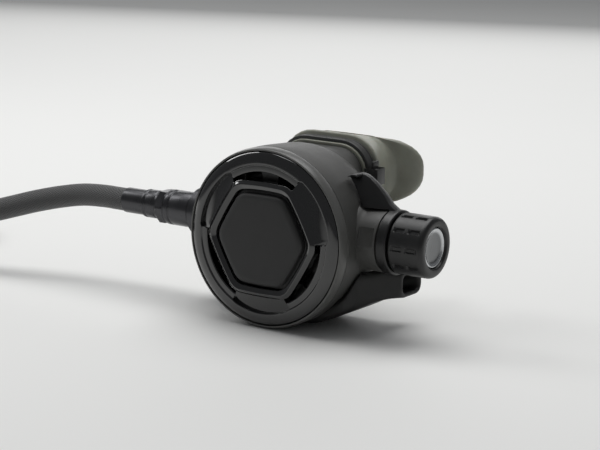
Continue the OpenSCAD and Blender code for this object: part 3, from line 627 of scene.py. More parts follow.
def finished(bm, name, slot, body="regulator", stands_for=(), sharp=35, mend=True):
    """Makes the piece from its bmesh, in the frame and in metres, and hangs it on its body."""
    if mend:
        bmesh.ops.remove_doubles(bm, verts=bm.verts, dist=WELD)
        bmesh.ops.dissolve_degenerate(bm, edges=bm.edges, dist=SLIVER)
        bmesh.ops.recalc_face_normals(bm, faces=bm.faces)
    wide = [face for face in bm.faces if len(face.verts) > 4]
    bmesh.ops.triangulate(bm, faces=wide, quad_method="BEAUTY", ngon_method="BEAUTY")
    for face in bm.faces:
        face.smooth = True
    for edge in bm.edges:
        edge.smooth = len(edge.link_faces) == 2 and edge.calc_face_angle(0) < math.radians(sharp)
    moved(bm, TO_FRAME)
    mesh = bpy.data.meshes.new(name)
    bm.to_mesh(mesh)
    bm.free()
    obj = bpy.data.objects.new(name, mesh)
    bpy.context.scene.collection.objects.link(obj)
    mesh.materials.append(surface(slot))
    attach(obj, body)
    "lever_black" if slot == "knob_black" else slot
    if stands_for:
        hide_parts(*stands_for)
    return obj


def lathed(profile, about, steps, *piece, **more):
    """A piece that is only turned; the rest is what finished() takes."""
    bm = bmesh.new()
    turned(bm, profile, about, steps)
    return finished(bm, *piece, **more)


def smoothstep(t):
    """Eases from 0 to 1."""
    t = min(1.0, max(0.0, t))
    return t * t * (3 - 2 * t)


def read(x, table):
    """Value at x in a table of (x, value) pairs, held at its ends."""
    if x <= table[0][0]:
        return table[0][1]
    for (a, va), (b, vb) in zip(table, table[1:]):
        if x <= b:
            return va + (vb - va) * (x - a) / (b - a)
    return table[-1][1]


# ---------------------------------------------------------------------------------------------
# Pieces
# ---------------------------------------------------------------------------------------------
def coil_radius(turn):
    """Radius of the coil after that many degrees."""
    return COIL_IN + COIL_STEP * turn / 360


def hose_route():
    """Points of the hose from its ferrule, round its coil, to the far ferrule."""
    start = [(0, 0, 0), (-7, 0, 0), (-14, 0, 0), (-26, -0.4, -0.8), (-38, -2.4, -3),
             (-50, -5.7, -6), (-62, -10, -9.7), (-74, -15, -13.5), (-86, -20.6, -17.2),
             (-98, -26.1, -20.3), (-110, -31.3, -22.4), (-122, -36, -23.3), (-134, -39.6, -23.9),
             (-146, -42, -25),
             (-158, -43, -27.8), (-171, -43, -31.5), (-181, -42, -33.9), (-191, -38.8, -35.1)]
    points = [EXIT + Vector(p) for p in start]
    for turn in (*range(45, 436, 10), 447):
        angle = math.radians(-90 - turn)
        r = coil_radius(turn)
        points.append(Vector((COIL.x + r * math.cos(angle), COIL.y + r * math.sin(angle), COIL_Z)))
    points += [Vector((TAIL_X, y, COIL_Z + h)) for y, h in ((39, 0.2), (49, 0.7), (59, 1), (69, 1))]
    return points


def smooth_run(points, step):
    """The points joined by a smooth curve, as points about a step apart."""
    out = []
    for k in range(len(points) - 1):
        p0, p1 = points[max(0, k - 1)], points[k]
        p2, p3 = points[k + 1], points[min(len(points) - 1, k + 2)]
        count = max(1, round((p2 - p1).length / step))
        for n in range(count):
            t = n / count
            out.append(0.5 * ((2 * p1) + (p2 - p0) * t + (2 * p0 - 5 * p1 + 4 * p2 - p3) * t * t
                              + (3 * p1 - p0 - 3 * p2 + p3) * t ** 3))
    out.append(points[-1])
    return out


def hose_tube(run, radius, sides=32):
    """A tube along the run, with its length and turn as the UV map strands."""
    bm = bmesh.new()
    loops, lengths, side = [], [0.0], Vector((0, 0, 1))
    for k, p in enumerate(run):
        along = (run[min(k + 1, len(run) - 1)] - run[max(k - 1, 0)]).normalized()
        side = (side - along * side.dot(along)).normalized()
        other = along.cross(side)
        if k:
            lengths.append(lengths[-1] + (p - run[k - 1]).length)
        loops.append([p + radius * (math.cos(a) * side + math.sin(a) * other)
                      for a in (2 * math.pi * n / sides for n in range(sides))])
    bands = lofted(bm, loops)
    ends = [e for e in bm.edges if e.is_boundary]
    bmesh.ops.holes_fill(bm, edges=ends, sides=0)
    layer = bm.loops.layers.uv.new("strands")
    for k, band in enumerate(bands):
        ring = {}
        for j, points in ((k, loops[k]), (k + 1, loops[k + 1])):
            for n, p in enumerate(points):
                ring[tuple(round(c, 4) for c in p)] = (j, n)
        for face in band:
            spots = [ring[tuple(round(c, 4) for c in corner.vert.co)] for corner in face.loops]
            wraps = {n for _, n in spots} == {0, sides - 1}
            for corner, (j, n) in zip(face.loops, spots):
                corner[layer].uv = (lengths[j] * MM, (sides if wraps and n == 0 else n) / sides)
    return bm


def build_camera():
    """The camera, rolled a little about its own line of sight."""
    camera = bpy.data.objects.new("camera", bpy.data.cameras.new("camera"))
    bpy.context.scene.collection.objects.link(camera)
    place = (0.44152, -0.69246, 0.2044)
    around, above, roll = (math.radians(a) for a in (33.067, 11.425, 1.6))
    back = Vector((math.sin(around) * math.cos(above), -math.cos(around) * math.cos(above),
                   math.sin(above)))
    right = Vector((math.cos(around), math.sin(around), 0))
    up = back.cross(right)
    across = right * math.cos(roll) + up * math.sin(roll)
    upright = up * math.cos(roll) - right * math.sin(roll)
    turn = Matrix((across, upright, back)).transposed().to_4x4()
    camera.matrix_world = Matrix.Translation(place) @ turn
    camera.data.sensor_width = 36
    camera.data.lens = 112.32
    camera.data.clip_start = 0.01
    camera.data.clip_end = 50
    bpy.context.scene.camera = camera


def build_lights():
    """The pale floor, three soft lamps and the room's own light."""
    scene = bpy.context.scene
    colours = scene.regulator_colours
    bm = bmesh.new()
    bmesh.ops.create_grid(bm, x_segments=8, y_segments=8, size=9)
    mesh = bpy.data.meshes.new("studio_floor")
    bm.to_mesh(mesh)
    bm.free()
    floor = bpy.data.objects.new("studio_floor", mesh)
    scene.collection.objects.link(floor)
    f = Finish("studio_paper", colours.floor, 0.7)
    f.set("Base Color", f.blend(f.cloud(0.4, 3.0), shaded(colours.floor, 0.985),
                                shaded(colours.floor, 1.01)))
    mesh.materials.append(f.material)
    # place, aim, width, height, power
    lamps = {
        "top_softbox": ((-0.15, 0.25, 1.3), (0, 0, 0.03), 1.3, 1.1, 14.0),
        "left_softbox": ((-1.0, -0.12, 0.8), (-0.02, 0, 0.04), 0.3, 0.6, 3.0),
        "back_strip": ((-0.55, 1.25, 0.45), (0, 0, 0.04), 1.7, 0.5, 4.0),
    }
    for name, (place, aim, width, height, power) in lamps.items():
        lamp = bpy.data.lights.new(name, "AREA")
        lamp.shape, lamp.size, lamp.size_y, lamp.energy = "RECTANGLE", width, height, power
        obj = bpy.data.objects.new(name, lamp)
        scene.collection.objects.link(obj)
        away = Vector(place) - Vector(aim)
        turn = away.to_track_quat("Z", "Y").to_matrix().to_4x4()
        obj.matrix_world = Matrix.Translation(place) @ turn
    world = bpy.data.worlds.new("studio")
    world.use_nodes = True
    room = world.node_tree.nodes["Background"].inputs
    room["Color"].default_value = (0.9, 0.92, 0.95, 1)
    room["Strength"].default_value = 0.18
    scene.world = world
    scene.view_settings.view_transform = "Standard"


def build_hose():
    """The hose, its ferrules, the tie round its coil and the connector at its end."""
    run = smooth_run(hose_route(), 3.0)
    hose = finished(hose_tube(run, HOSE_R), "hose_run", "hose_braid",
                    stands_for=("hose", "hose_coil"), sharp=60, mend=False)
    lip = [(3, -94), (5.45, -94, 0.1), (FERRULE_R, -93.5, 0.2), (FERRULE_R, -82.3, 0.2), (5.6, -82),
           (3, -82)]
    near = lathed(softened(lip, 0.1), "valve", 96, "near_ferrule_turned", "black_plated",
                  stands_for=("near_ferrule",))
    lip = [(3, 69), (5.45, 69, 0.1), (FERRULE_R, 69.5, 0.2), (FERRULE_R, 71.2, 0.2),
           (5.6, 71.5, 0.2), (5.6, 72.3, 0.2), (FERRULE_R, 72.6, 0.2), (FERRULE_R, 80.7, 0.2),
           (5.6, 81), (3, 81)]
    far = lathed(softened(lip, 0.1), "port", 96, "far_ferrule_turned", "black_plated",
                 stands_for=("far_ferrule",))
    connector = build_connector()
    tie = build_coil_tie()
    path = [TO_FRAME @ p for p in run]
    size = sum((q - p).length for p, q in zip(path, path[1:]))


def hexed(bm, about, flats, low, high):
    """Brings vertices between two distances in to a hexagon, which leaves its chamfers round."""
    for v in bm.verts:
        r, angle, d = about_axis(v.co, about)
        if low <= d <= high:
            corner = (angle + HEX_TURN / 2) % HEX_TURN - HEX_TURN / 2
            set_radius(v, about, min(r, flats / 2 / math.cos(corner)))


def build_connector():
    """The threaded connector at the hose's far end, with a hexagon for a spanner."""
    flats, crest, root, bore = 13.8, 4.76, 3.9, 2.4
    start, end = 90.2, 98.2         # of the thread
    corner = flats / 2 / math.cos(HEX_TURN / 2)
    bm = bmesh.new()
    profile = [(bore, 81), (6.6, 81), (corner, 81.9), (corner, 83), (corner, 84.5), (corner, 86),
               (corner, 87.1), (6.6, 88), (root, 88), (root, start), (crest, start)]
    profile += [(crest, 90.3 + 0.132 * n) for n in range(60)] + [(root, end), (bore, end)]
    turned(bm, profile, "port", 120)
    hexed(bm, "port", flats, 80.9, 88.1)
    pitch = bpy.context.scene.regulator_sizes.thread / MM
    for v in bm.verts:
        r, angle, d = about_axis(v.co, "port")
        if r > 4.3 and 90.25 < d < 98.15:
            phase = (d / pitch - angle / (2 * math.pi)) % 1
            ends = smoothstep((d - start) / 0.5) * smoothstep((98.1 - d) / 1.2)
            lead_in = 0.25 * smoothstep((d - 97.4) / 0.7)
            set_radius(v, "port", crest - 0.6 * ends * abs(2 * phase - 1) - lead_in)
    return finished(bm, "connector_turned", "plated_brass", stands_for=("male_connector",),
                    sharp=28)


def build_coil_tie():
    """A hook-and-loop strap round both turns, with its end lapped over on top."""
    near_r, far_r = coil_radius(45), coil_radius(405)

    def loop(reach, across):
        """A band's outline round the two turns, that far from the hose's middle."""
        out = []
        for r, first in ((near_r, 90), (far_r, -90)):
            for degrees in range(first, first + 181, 15):
                a = math.radians(degrees)
                out.append(Vector((r + reach * math.cos(a), across, reach * math.sin(a))))
        return out

    bm = bmesh.new()
    lofted(bm, [loop(5.34, -4.8), loop(5.6, -5), loop(5.85, -5), loop(6.08, -4.75),
                loop(6.08, 4.75), loop(5.85, 5), loop(5.6, 5), loop(5.34, 4.8), loop(5.34, -4.8)])
    lap = block(12, 9.6, 0.7)
    rounded_edges(lap, 0.25, 2)
    moved(lap, Matrix.Translation((far_r - 4.5, 0, 6.1)))
    joined(bm, lap)
    moved(bm, Matrix.Translation((COIL.x, COIL.y, COIL_Z))
          @ Matrix.Rotation(math.radians(-135), 4, "Z"))
    return finished(bm, "coil_strap", "tie_nylon", stands_for=("coil_tie",))


def build_fittings():
    """The swivel nut at the inlet and the hose's plated stem."""
    bm = bmesh.new()
    ring = [(5.4, -72.6), (7.6, -72.6), (8.35, -72.0), (8.35, -71), (8.35, -69.6), (8.3, -68.9),
            (7.7, -68.4), (7.6, -68.2), (7.75, -67.9), (8.1, -67.6), (8.1, -65.6), (7.75, -65.3),
            (7.75, -64.7), (8.1, -64.4), (8.1, -54.6), (7.7, -54.2), (7.7, -53.6), (8.1, -53.2),
            (8.0, -52.5), (7.7, -52.3), (7.3, -52.3), (7.3, -64), (5.4, -66)]
    turned(bm, softened(ring, 0.15, steps=2), "valve", 180)
    hexed(bm, "valve", 14.4, -72.7, -68.5)
    finished(bm, "swivel_nut_turned", "black_plated", stands_for=("swivel_nut",))
    stem = [(2.4, -92), (2.9, -92), (2.9, -82), (6.1, -82), (6.5, -81.6), (6.55, -80.6),
            (6.2, -80.2), (6.2, -79.6), (6.55, -79.2), (6.55, -75.3), (6.25, -74.8), (6.25, -74.1),
            (6.55, -73.6),
            (6.5, -72.7), (5.3, -72.7), (5.3, -68.3), (6.9, -68.3), (6.9, -66.2), (5.6, -66.1),
            (5.6, -67.3), (4.2, -67.3), (4.2, -66.1), (2.4, -66.1)]
    lathed(softened(stem, 0.12, steps=2), "valve", 128, "hose_stem_turned", "black_plated",
           stands_for=("hose_stem",))


def case_shoulder(inset):
    """The case's rounded back edge as (radius, depth) points."""
    return [(26 - inset + 12.6 * math.cos(math.radians(a)),
             27 + (BACK_Y - 27 - inset) * math.sin(math.radians(a))) for a in range(0, 91, 6)]


def exhaust_recess(grow, y0):
    """The room that the exhaust tee takes out of the case's lower side."""
    half = [(27 + grow * 0.4, -27 + grow), (39 + grow * 0.4, -18 + grow), (44, -15 + grow),
            (44, -60)]
    bm = bmesh.new()
    plate(bm, half + [(-x, z) for x, z in reversed(half)], y0, y0 + 60)
    return bm


def case_body():
    """The turned shell with its cavity, exhaust recess, mouth opening and bore cut out of it."""
    outer = bmesh.new()
    edge = softened([(36, FRONT_Y), (CASE_R, FRONT_Y, 0.5), (CASE_R, 14), (38.6, 27, 0)], 2.0,
                    closed=False)
    turned(outer, [(0, FRONT_Y)] + edge + case_shoulder(0)[1:] + [(0, BACK_Y)], "cover",
           CASE_STEPS, closed=False)
    cavity = bmesh.new()
    seat = 34.0         # radius of the diaphragm's seat
    turned(cavity, [(0, 5.4), (36.8, 5.4), (36.8, 10.4), (seat, 10.4)]
           + [(min(r, seat), y) for r, y in case_shoulder(WALL)] + [(0, BACK_Y - WALL)], "cover",
           CASE_STEPS, closed=False)
    cavity = carved(cavity, exhaust_recess(2, 11))
    mouth = bmesh.new()
    ring = oblong(*grown(TUBE, -WALL))
    lofted(mouth, [[Vector((p.x, y, p.y)) for p in ring] for y in (-12, 16)], capped=True)
    moved(mouth, MOUTH)
    bore = bmesh.new()
    turned(bore, [(0, -60), (INLET_BORE, -60), (INLET_BORE, 0), (KNOB_BORE, 0), (KNOB_BORE, 60),
                  (0, 60)], "valve", 96, closed=False)
    return carved(outer, cavity, exhaust_recess(0, 13), mouth, bore)


def case_flank():
    """The smooth shoulder that runs up to the mouthpiece's tube, open where the valve passes."""
    foot_r, foot_y, rows = 36.7, 30.4, 12
    bm = bmesh.new()
    foot = oblong(2 * foot_r, 2 * foot_r, foot_r)
    top = mouth_loop(*TUBE, TUBE_ROOT)
    loops = []
    for n in range(rows + 1):
        t = n / rows
        near = 1 - (1 - t) ** 1.35
        loops.append([Vector((p.x, foot_y, p.y)).lerp(m, near)
                      + Vector((0, (m.y - foot_y) * (t - near), 0)) for p, m in zip(foot, top)])
    inner = mouth_loop(*grown(TUBE, -WALL), TUBE_ROOT)
    lofted(bm, loops + [inner, [Vector((p.x, p.y - 9, p.z)) for p in inner]])
    through = [f for f in bm.faces
               if about_axis(f.calc_center_median(), "valve")[0] < KNOB_BORE + 0.5]
    bmesh.ops.delete(bm, geom=through, context="FACES_ONLY")
    return bm


def case_neck():
    """The tube that the mouthpiece grips, as rings of (inset, distance along)."""
    bm = bmesh.new()
    rings = [(0, -5), (0, 12.6), (0.15, 12.9), (0.5, 13), (1.8, 13), (WALL, 12.6), (WALL, -5),
             (0, -5)]
    lofted(bm, [mouth_loop(*grown(TUBE, -inset), y) for inset, y in rings])
    return bm


def knob_boss():
    """The boss on the knob's side, flared at its foot, with a pocket in its front."""
    bm = bmesh.new()
    turned(bm, softened([(KNOB_BORE, 30), (17.5, 30), (15.3, 36.5, 3), (13.6, 38.8, 2),
                         (13.6, BOSS_END, 0.4), (KNOB_BORE, BOSS_END, 0.3)], 0.2), "valve")
    pocket = block(7.4, 3.2, 8.4)
    rounded_edges(pocket, 0.5, 2)
    moved(pocket, Matrix.Translation((43.2, VALVE_Y, VALVE_Z))
          @ Matrix.Rotation(math.radians(-14), 4, "X") @ Matrix.Translation((0, -14.2, 0)))
    return carved(bm, pocket)


def exhaust_seat(bm):
    """The exhaust port's ring and the hub of its spider."""
    y, low, high = 28, -28, -25
    for r0, r1 in ((11, 13.4), (1.5, 3.2)):
        verts = [bm.verts.new((r, y, z)) for r, z in ((r0, low), (r1, low), (r1, high), (r0, high))]
        edges = [bm.edges.new((verts[k], verts[(k + 1) % 4])) for k in range(4)]
        bmesh.ops.spin(bm, geom=verts + edges, cent=(0, y, 0), axis=(0, 0, 1), dvec=(0, 0, 0),
                       angle=2 * math.pi, steps=48, use_merge=True, use_duplicate=False)


def build_case():
    """The case: its shell, the shoulder and tube behind it, two bosses and the exhaust seat."""
    bm = case_body()
    joined(bm, case_flank())
    joined(bm, case_neck())
    turned(bm, softened([(INLET_BORE, -30), (15.5, -30), (13.6, -36.5, 3), (12, -39, 2),
                         (12, -BOSS_END, 0.5), (INLET_BORE, -BOSS_END, 0.3)], 0.2), "valve")
    joined(bm, knob_boss())
    exhaust_seat(bm)
    finished(bm, "case_shell", "case_black", stands_for=("case",), sharp=32)


def build_cover():
    """The matt band with its perforated web."""
    bm = bmesh.new()
    ring = [(4.9, 5, 0.2), (36.2, 5, 0.1), (36.2, SKIRT_Y, 0.1), (38, SKIRT_Y, 0.1), (38, 0.9, 0.1),
            (38.65, 0.85, 0.3), (39.05, 2.2, 0.8), (CASE_R, 3.9, 0.8), (CASE_R, 6.15, 0.25),
            (36.7, 6.2), (36.7, 8), (34.4, 8), (34.4, FRONT_Y), (4.9, FRONT_Y, 0.2)]
    turned(bm, softened(ring, 0.05, steps=3), "cover", CASE_STEPS)
    holes = bmesh.new()
    for count, first, at, r in ((10, 0, 27, 4.4), (6, 30, 15, 3.6)):
        for k in range(count):
            spot = Matrix.Translation(about_cover(at, 360 * k / count + first, 5.7))
            bmesh.ops.create_cone(holes, cap_ends=True, segments=32, radius1=r, radius2=r, depth=4,
                                  matrix=spot @ Matrix.Rotation(math.pi / 2, 4, "X"))
    finished(carved(bm, holes), "cover_band", "cover_grey", stands_for=("front_cover",), sharp=30)


def hex_radius(angle, size, corner, bow):
    """Radius of a rounded, bowed hexagon in a direction; its corners are at 0, 60, ... degrees."""
    off = (angle % 60) - 30
    half = (size - corner) / 2
    flat = (size - corner) * math.cos(math.pi / 6) + corner
    r = flat / math.cos(math.radians(off))
    across = r * math.sin(math.radians(off))
    if abs(across) <= half:
        return (flat + bow * (1 - (across / half) ** 2)) / math.cos(math.radians(off))
    turn = math.radians(30 - abs(off))
    reach = size - corner
    return reach * math.cos(turn) + math.sqrt(max(0, corner ** 2 - (reach * math.sin(turn)) ** 2))


def build_bezel():
    """The polished ring: ridge round the button, three vents and three dished facets."""
    dish = bpy.context.scene.regulator_sizes.dish / MM
    wall_w, blend_w = 0.6, 3.5      # degrees that a vent's end and the facet's ease take
    ends = [VENT_HALF, -VENT_HALF, wall_w + VENT_HALF, -wall_w - VENT_HALF]
    offsets = sorted(set([k * 1.25 for k in range(-47, 49)] + ends))
    columns = [(a, o) for a in (90, 210, 330) for o in offsets]

    def column(vent, off):
        """Radius and depth of each point of the section in one direction."""
        angle = (vent + off) % 360
        inner, top, rim = (hex_radius(angle, size, corner, 0.3) for size, corner in (
            RIM_IN, RIM_TOP, RIM_OUT))
        past = abs(off) - VENT_HALF - wall_w / 2
        facet = past > 0
        edge = FACET_R[min(FACET_R, key=lambda a: abs((angle - a + 180) % 360 - 180))]
        ease = smoothstep(past / blend_w) if facet else 0
        lip = LEDGE_R + (edge - LEDGE_R) * ease
        out = [(inner, SKIRT_Y), (inner, -1.2), (inner + 0.05, -1.42), (inner + 0.2, -1.55)]
        for n in range(1, 5):
            out.append((inner + (top - inner) * (0.1 + 0.18 * n), -1.55 - 0.19 * n))
        out += [(top - 0.1, -2.42), (top + 0.1, -2.44), (top + 0.3, -2.36)]
        for n in range(1, 4):
            out.append((top + (rim - top) * (0.16 + 0.22 * n), -2.36 + 0.32 * n))
        if facet:
            out += [(rim - 0.05, -1.15), (rim + 0.2, -0.95)]
            start, last, y0, y1 = rim + 0.55, lip - 0.3, -0.82, 0.9 if lip < 33 else 1.05
            for n in range(9):
                t = n / 8
                out.append((start + (last - start) * t,
                            y0 + (y1 - y0) * t + dish * math.sin(math.pi * t) * ease))
            out += [(lip - 0.08, y1 + 0.02), (lip, y1 - 0.25), (lip + 0.04, 0.0), (lip + 0.1, -0.3)]
        else:
            out += [(rim - 0.1, -1.3), (rim, -1.05), (rim, -0.6), (rim, SKIRT_Y), (VENT_R, SKIRT_Y),
                    (VENT_R, 0.5), (VENT_R + 0.05, 0.15), (VENT_R + 0.25, -0.05), (29.9, -0.1),
                    (30.5, -0.08), (31.1, -0.05), (31.6, -0.02), (31.82, 0.0),
                    (LEDGE_R - 0.12, -0.06), (LEDGE_R - 0.02, -0.3)]
        out += [(lip + 0.2, -0.5), (lip + 0.45, -0.58), (lip + 0.85, -0.56), (34.4, -0.42),
                (35.2, -0.24), (35.9, -0.02), (36.5, 0.24), (37.0, 0.54), (37.4, 0.9), (37.68, 1.3),
                (37.84, 1.75), (37.9, 2.2), (37.9, 2.6), (37.8, SKIRT_Y)]
        out += [(lip, SKIRT_Y), (31, SKIRT_Y)] if facet else [(VENT_R, SKIRT_Y), (rim, SKIRT_Y)]
        return out + [(inner, SKIRT_Y)]

    sections = [column(vent, off) for vent, off in columns]
    floor = sections[len(offsets) // 2].index((VENT_R, SKIRT_Y)) - 1
    loops = [[about_cover(section[n][0], vent + off, section[n][1])
              for (vent, off), section in zip(columns, sections)] for n in range(len(sections[0]))]
    bm = bmesh.new()
    bands = lofted(bm, loops)
    # the vents are open: the band across a vent's floor goes, and the one behind it
    gone = []
    for band in (bands[floor], bands[-2]):
        for face in band:
            middle = face.calc_center_median()
            off = abs((math.degrees(math.atan2(middle.z, middle.x)) - 30) % 120 - 60)
            if off < VENT_HALF + wall_w / 3:
                gone.append(face)
    bmesh.ops.delete(bm, geom=gone, context="FACES_ONLY")
    finished(bm, "bezel_ring", "gloss_black", stands_for=("bezel",), sharp=50)


def build_button():
    """The hexagonal purge button: a soft face that rolls over to its flange, and its plunger."""
    crown = bpy.context.scene.regulator_sizes.crown / MM
    angles = [2.5 * k for k in range(144)]

    def ring(size, y, corner=6.5):
        return [about_cover(hex_radius(a, size, corner, 0.2) if size > 8 else size, a, y)
                for a in angles]

    face, edge = -3.2, crown - 3.2
    loops = [ring(18.9 * share, face + crown * share ** 2, 6.5 * share)
             for share in (0.0, 0.15, 0.3, 0.45, 0.6, 0.72, 0.82, 0.9, 0.96)]
    loops += [ring(18.9, edge), ring(19.5, edge + 0.07), ring(20.1, edge + 0.2),
              ring(20.6, edge + 0.4), ring(21.05, edge + 0.68), ring(21.35, edge + 1.05),
              ring(21.5, edge + 1.5), ring(21.55, 0.1), ring(21.65, 0.3), ring(22.8, 0.35, 5),
              ring(23.0, 0.5, 5), ring(23.0, 0.75, 5), ring(21.6, 0.75, 5)]
    # the plunger behind it
    loops += [ring(r, y) for r, y in ((5.2, 0.75), (4.8, 0.9), (4.8, 8.4), (4.5, 8.7), (0, 8.7))]
    bm = bmesh.new()
    lofted(bm, loops)
    finished(bm, "button_face", "button_grey", "button", ("purge_button",), 40)


def build_knob():
    """The adjusting knob with its two rows of grip grooves, and the bright disc in its end."""
    depth = bpy.context.scene.regulator_sizes.groove / MM
    grip_r, apart = 13.2, 36        # radius, and degrees from one groove to the next
    bm = bmesh.new()
    rim = [(0, 60), (12, 60), (12, 54.2), (12.3, 54), (12.7, 54.05), (13.05, 54.4), (grip_r, 54.9)]
    rim += [(grip_r, 55.2 + 0.4 * n) for n in range(33)]
    rim += [(13.16, 68.6), (13.02, 69.1), (12.8, 69.5), (12.4, 69.95), (11.9, 70.22), (11.2, 70.38),
            (10.6, 70.4), (9.6, 70.4), (9.3, 70.3), (9.05, 70.0), (8.85, 69.4), (8.72, 69.1),
            (8.7, 68.4), (0, 68.4)]
    turned(bm, rim, "valve", 360)
    for v in bm.verts:
        r, angle, x = about_axis(v.co, "valve")
        if r > 13.0 and 55 < x < 68.5:
            off = math.degrees(angle) % apart - apart / 2
            across = math.radians(abs(off)) * grip_r
            row = max(min(smoothstep((x - low + 0.3) / 0.6), smoothstep((high + 0.3 - x) / 0.6))
                      for low, high in ((56.0, 60.6), (62.8, 67.6)))
            wall = 1 - smoothstep((across - 0.7) / 0.45)
            set_radius(v, "valve", r - depth * row * wall)
    finished(bm, "knob_grip", "knob_black", "knob", ("knob",), 40)
    dish = [(0, 68.4), (8.6, 68.4), (8.6, 69.1), (8.5, 69.35), (8.3, 69.5), (8.1, 69.55),
            (7.9, 69.52), (7.5, 69.38), (7.0, 69.16), (6.4, 68.94), (5.6, 68.78), (4.4, 68.68),
            (2.6, 68.62), (0, 68.6)]
    lathed(dish, "valve", 160, "knob_disc", "bright_disc", "knob", ("knob_cap",), 50)


def build_lever():
    """The pre-dive lever: a ring on its sleeve, and a fin that leans back to a thicker grip."""
    bm = bmesh.new()
    turned(bm, softened([(9.15, 34), (10, 34), (10, 48.4, 0), (13.5, 48.4, 0.5), (14, 48.9, 0.4),
                         (14, 52.9, 0.4), (13.5, 53.4, 0.4), (9.15, 53.4)], 0.15), "valve", 160)
    top = [(52.6, 14.9), (48.4, 17.7), (46.3, 20.2), (44, 22.5), (40.9, 25.3), (37.6, 27.8),
           (35.4, 28.9), (33.1, 29.4), (31, 29.3)]
    clear_r, foot_z = 40, 15.7      # radius just outside the case, and where the fin meets its ring
    under = [(x, math.sqrt(clear_r ** 2 - x * x)) for x in (28.6, 30, 31.5, 33, 34.5)]
    outline = top + under + [(math.sqrt(clear_r ** 2 - foot_z ** 2), foot_z), (48.4, foot_z),
                             (48.4, 13.7), (52.6, 13.7)]
    fin_cut = ((35.6, 20, 16.9), (0.240, -0.8956, 0.3746))
    ear_cuts = ((34, 24, 0), (1, 0, 0)), ((0, 24, 28.0), (0, 0, -1))
    for cuts, width, segments in (((fin_cut,), 0.55, 3), (ear_cuts, 0.7, 4)):
        part = bmesh.new()
        plate(part, outline, 20, 28)
        for point, away in cuts:
            sliced(part, Vector(point), Vector(away))
        bmesh.ops.recalc_face_normals(part, faces=part.faces)
        rounded_edges(part, width, segments)
        joined(bm, part)
    finished(bm, "pre_dive_fin", "lever_black", "pre_dive_lever", ("venturi_lever",))


def build_tee():
    """The rubber exhaust tee: one hollow duct from horn to horn."""
    end, floor, chin = 49, -39.5, -35.7     # of a horn, of the duct, and of its slanted front
    # the duct's edges, by distance from the middle; rear is the top at the back
    low = [(0, floor), (10, floor), (16, -37.9), (21, -36.1), (27.6, -33.4), (32, -31.2),
           (36.2, -29), (40.3, -26.5), (44.5, -25.3), (end, -25.3)]
    high = [(0, -27.1), (27, -27.1), (33.6, -22.0), (34.5, -19.9), (35.5, -18.0), (36.5, -15.9),
            (37.3, -13.9), (38, -12.5), (44, -12.4), (end, -14.2)]
    rear = [(0, -27.1), (27, -27.1), (39.2, -18.1), (end, -15.6)]
    front = [(0, 13.1), (24, 13.3), (33, 13.8), (37, 16), (42, 25), (end, 35.5)]
    back = [(0, 44.8), (16, 44.8), (36, 46), (44, 51.5), (end, 53)]

    def eased(x, table):
        return sum(read(abs(x + d), table) for d in (-1, -0.5, 0, 0.5, 1)) / 5

    def section(x, inset):
        """The duct's outline across, that far in from its outside."""
        wide = 2.4
        at = min(abs(x), end)
        z0, z1 = max(eased(at, low), floor) + inset, eased(at, high) - inset
        y0, y1 = eased(at, front) + inset * 1.1, eased(at, back) - inset
        z1 = max(z1, z0 + 1.5)
        cut = chin - 0.4 * (y0 - 11) + inset
        horn = smoothstep((at - 34) / 12)
        behind = min(z1, max(eased(at, rear) - inset, z0 + 1.5))
        points = [(max(31, y0 + 5), z1, 1.5), (y0, z1, wide + 1.5 * horn)]
        if cut > z0 + 0.4:
            points += [(y0, cut), (min(11 + (chin + inset - z0) / 0.4, y1 - 6), z0)]
        else:
            points += [(y0, z0, wide + 1.5 * horn)]
        points += [(y1, z0, wide + 4.5 * horn), (y1, behind, wide + 3 * horn)]
        ring = evened(softened(points, max(0.8, wide - inset), steps=6), 72)
        return [Vector((x, p.x, p.y)) for p in ring]

    half = [1.2 + 2.4 * n for n in range(14)] + [34 + 0.5 * n for n in range(9)]
    half += [39.4 + 1.15 * n for n in range(9)]
    spots = [-x for x in reversed(half)] + half
    loops = [section(-end, 0.8), section(-48.9, 0.3)] + [section(x, 0) for x in spots]
    loops += [section(48.9, 0.3), section(end, 0.8), section(48.9, 1.3)]
    loops += [section(x, 1.6) for x in reversed(spots)] + [section(-48.9, 1.3), section(-end, 0.8)]
    bm = bmesh.new()
    lofted(bm, loops)
    finished(bm, "exhaust_duct", "tee_rubber", stands_for=("exhaust_tee",), sharp=60)


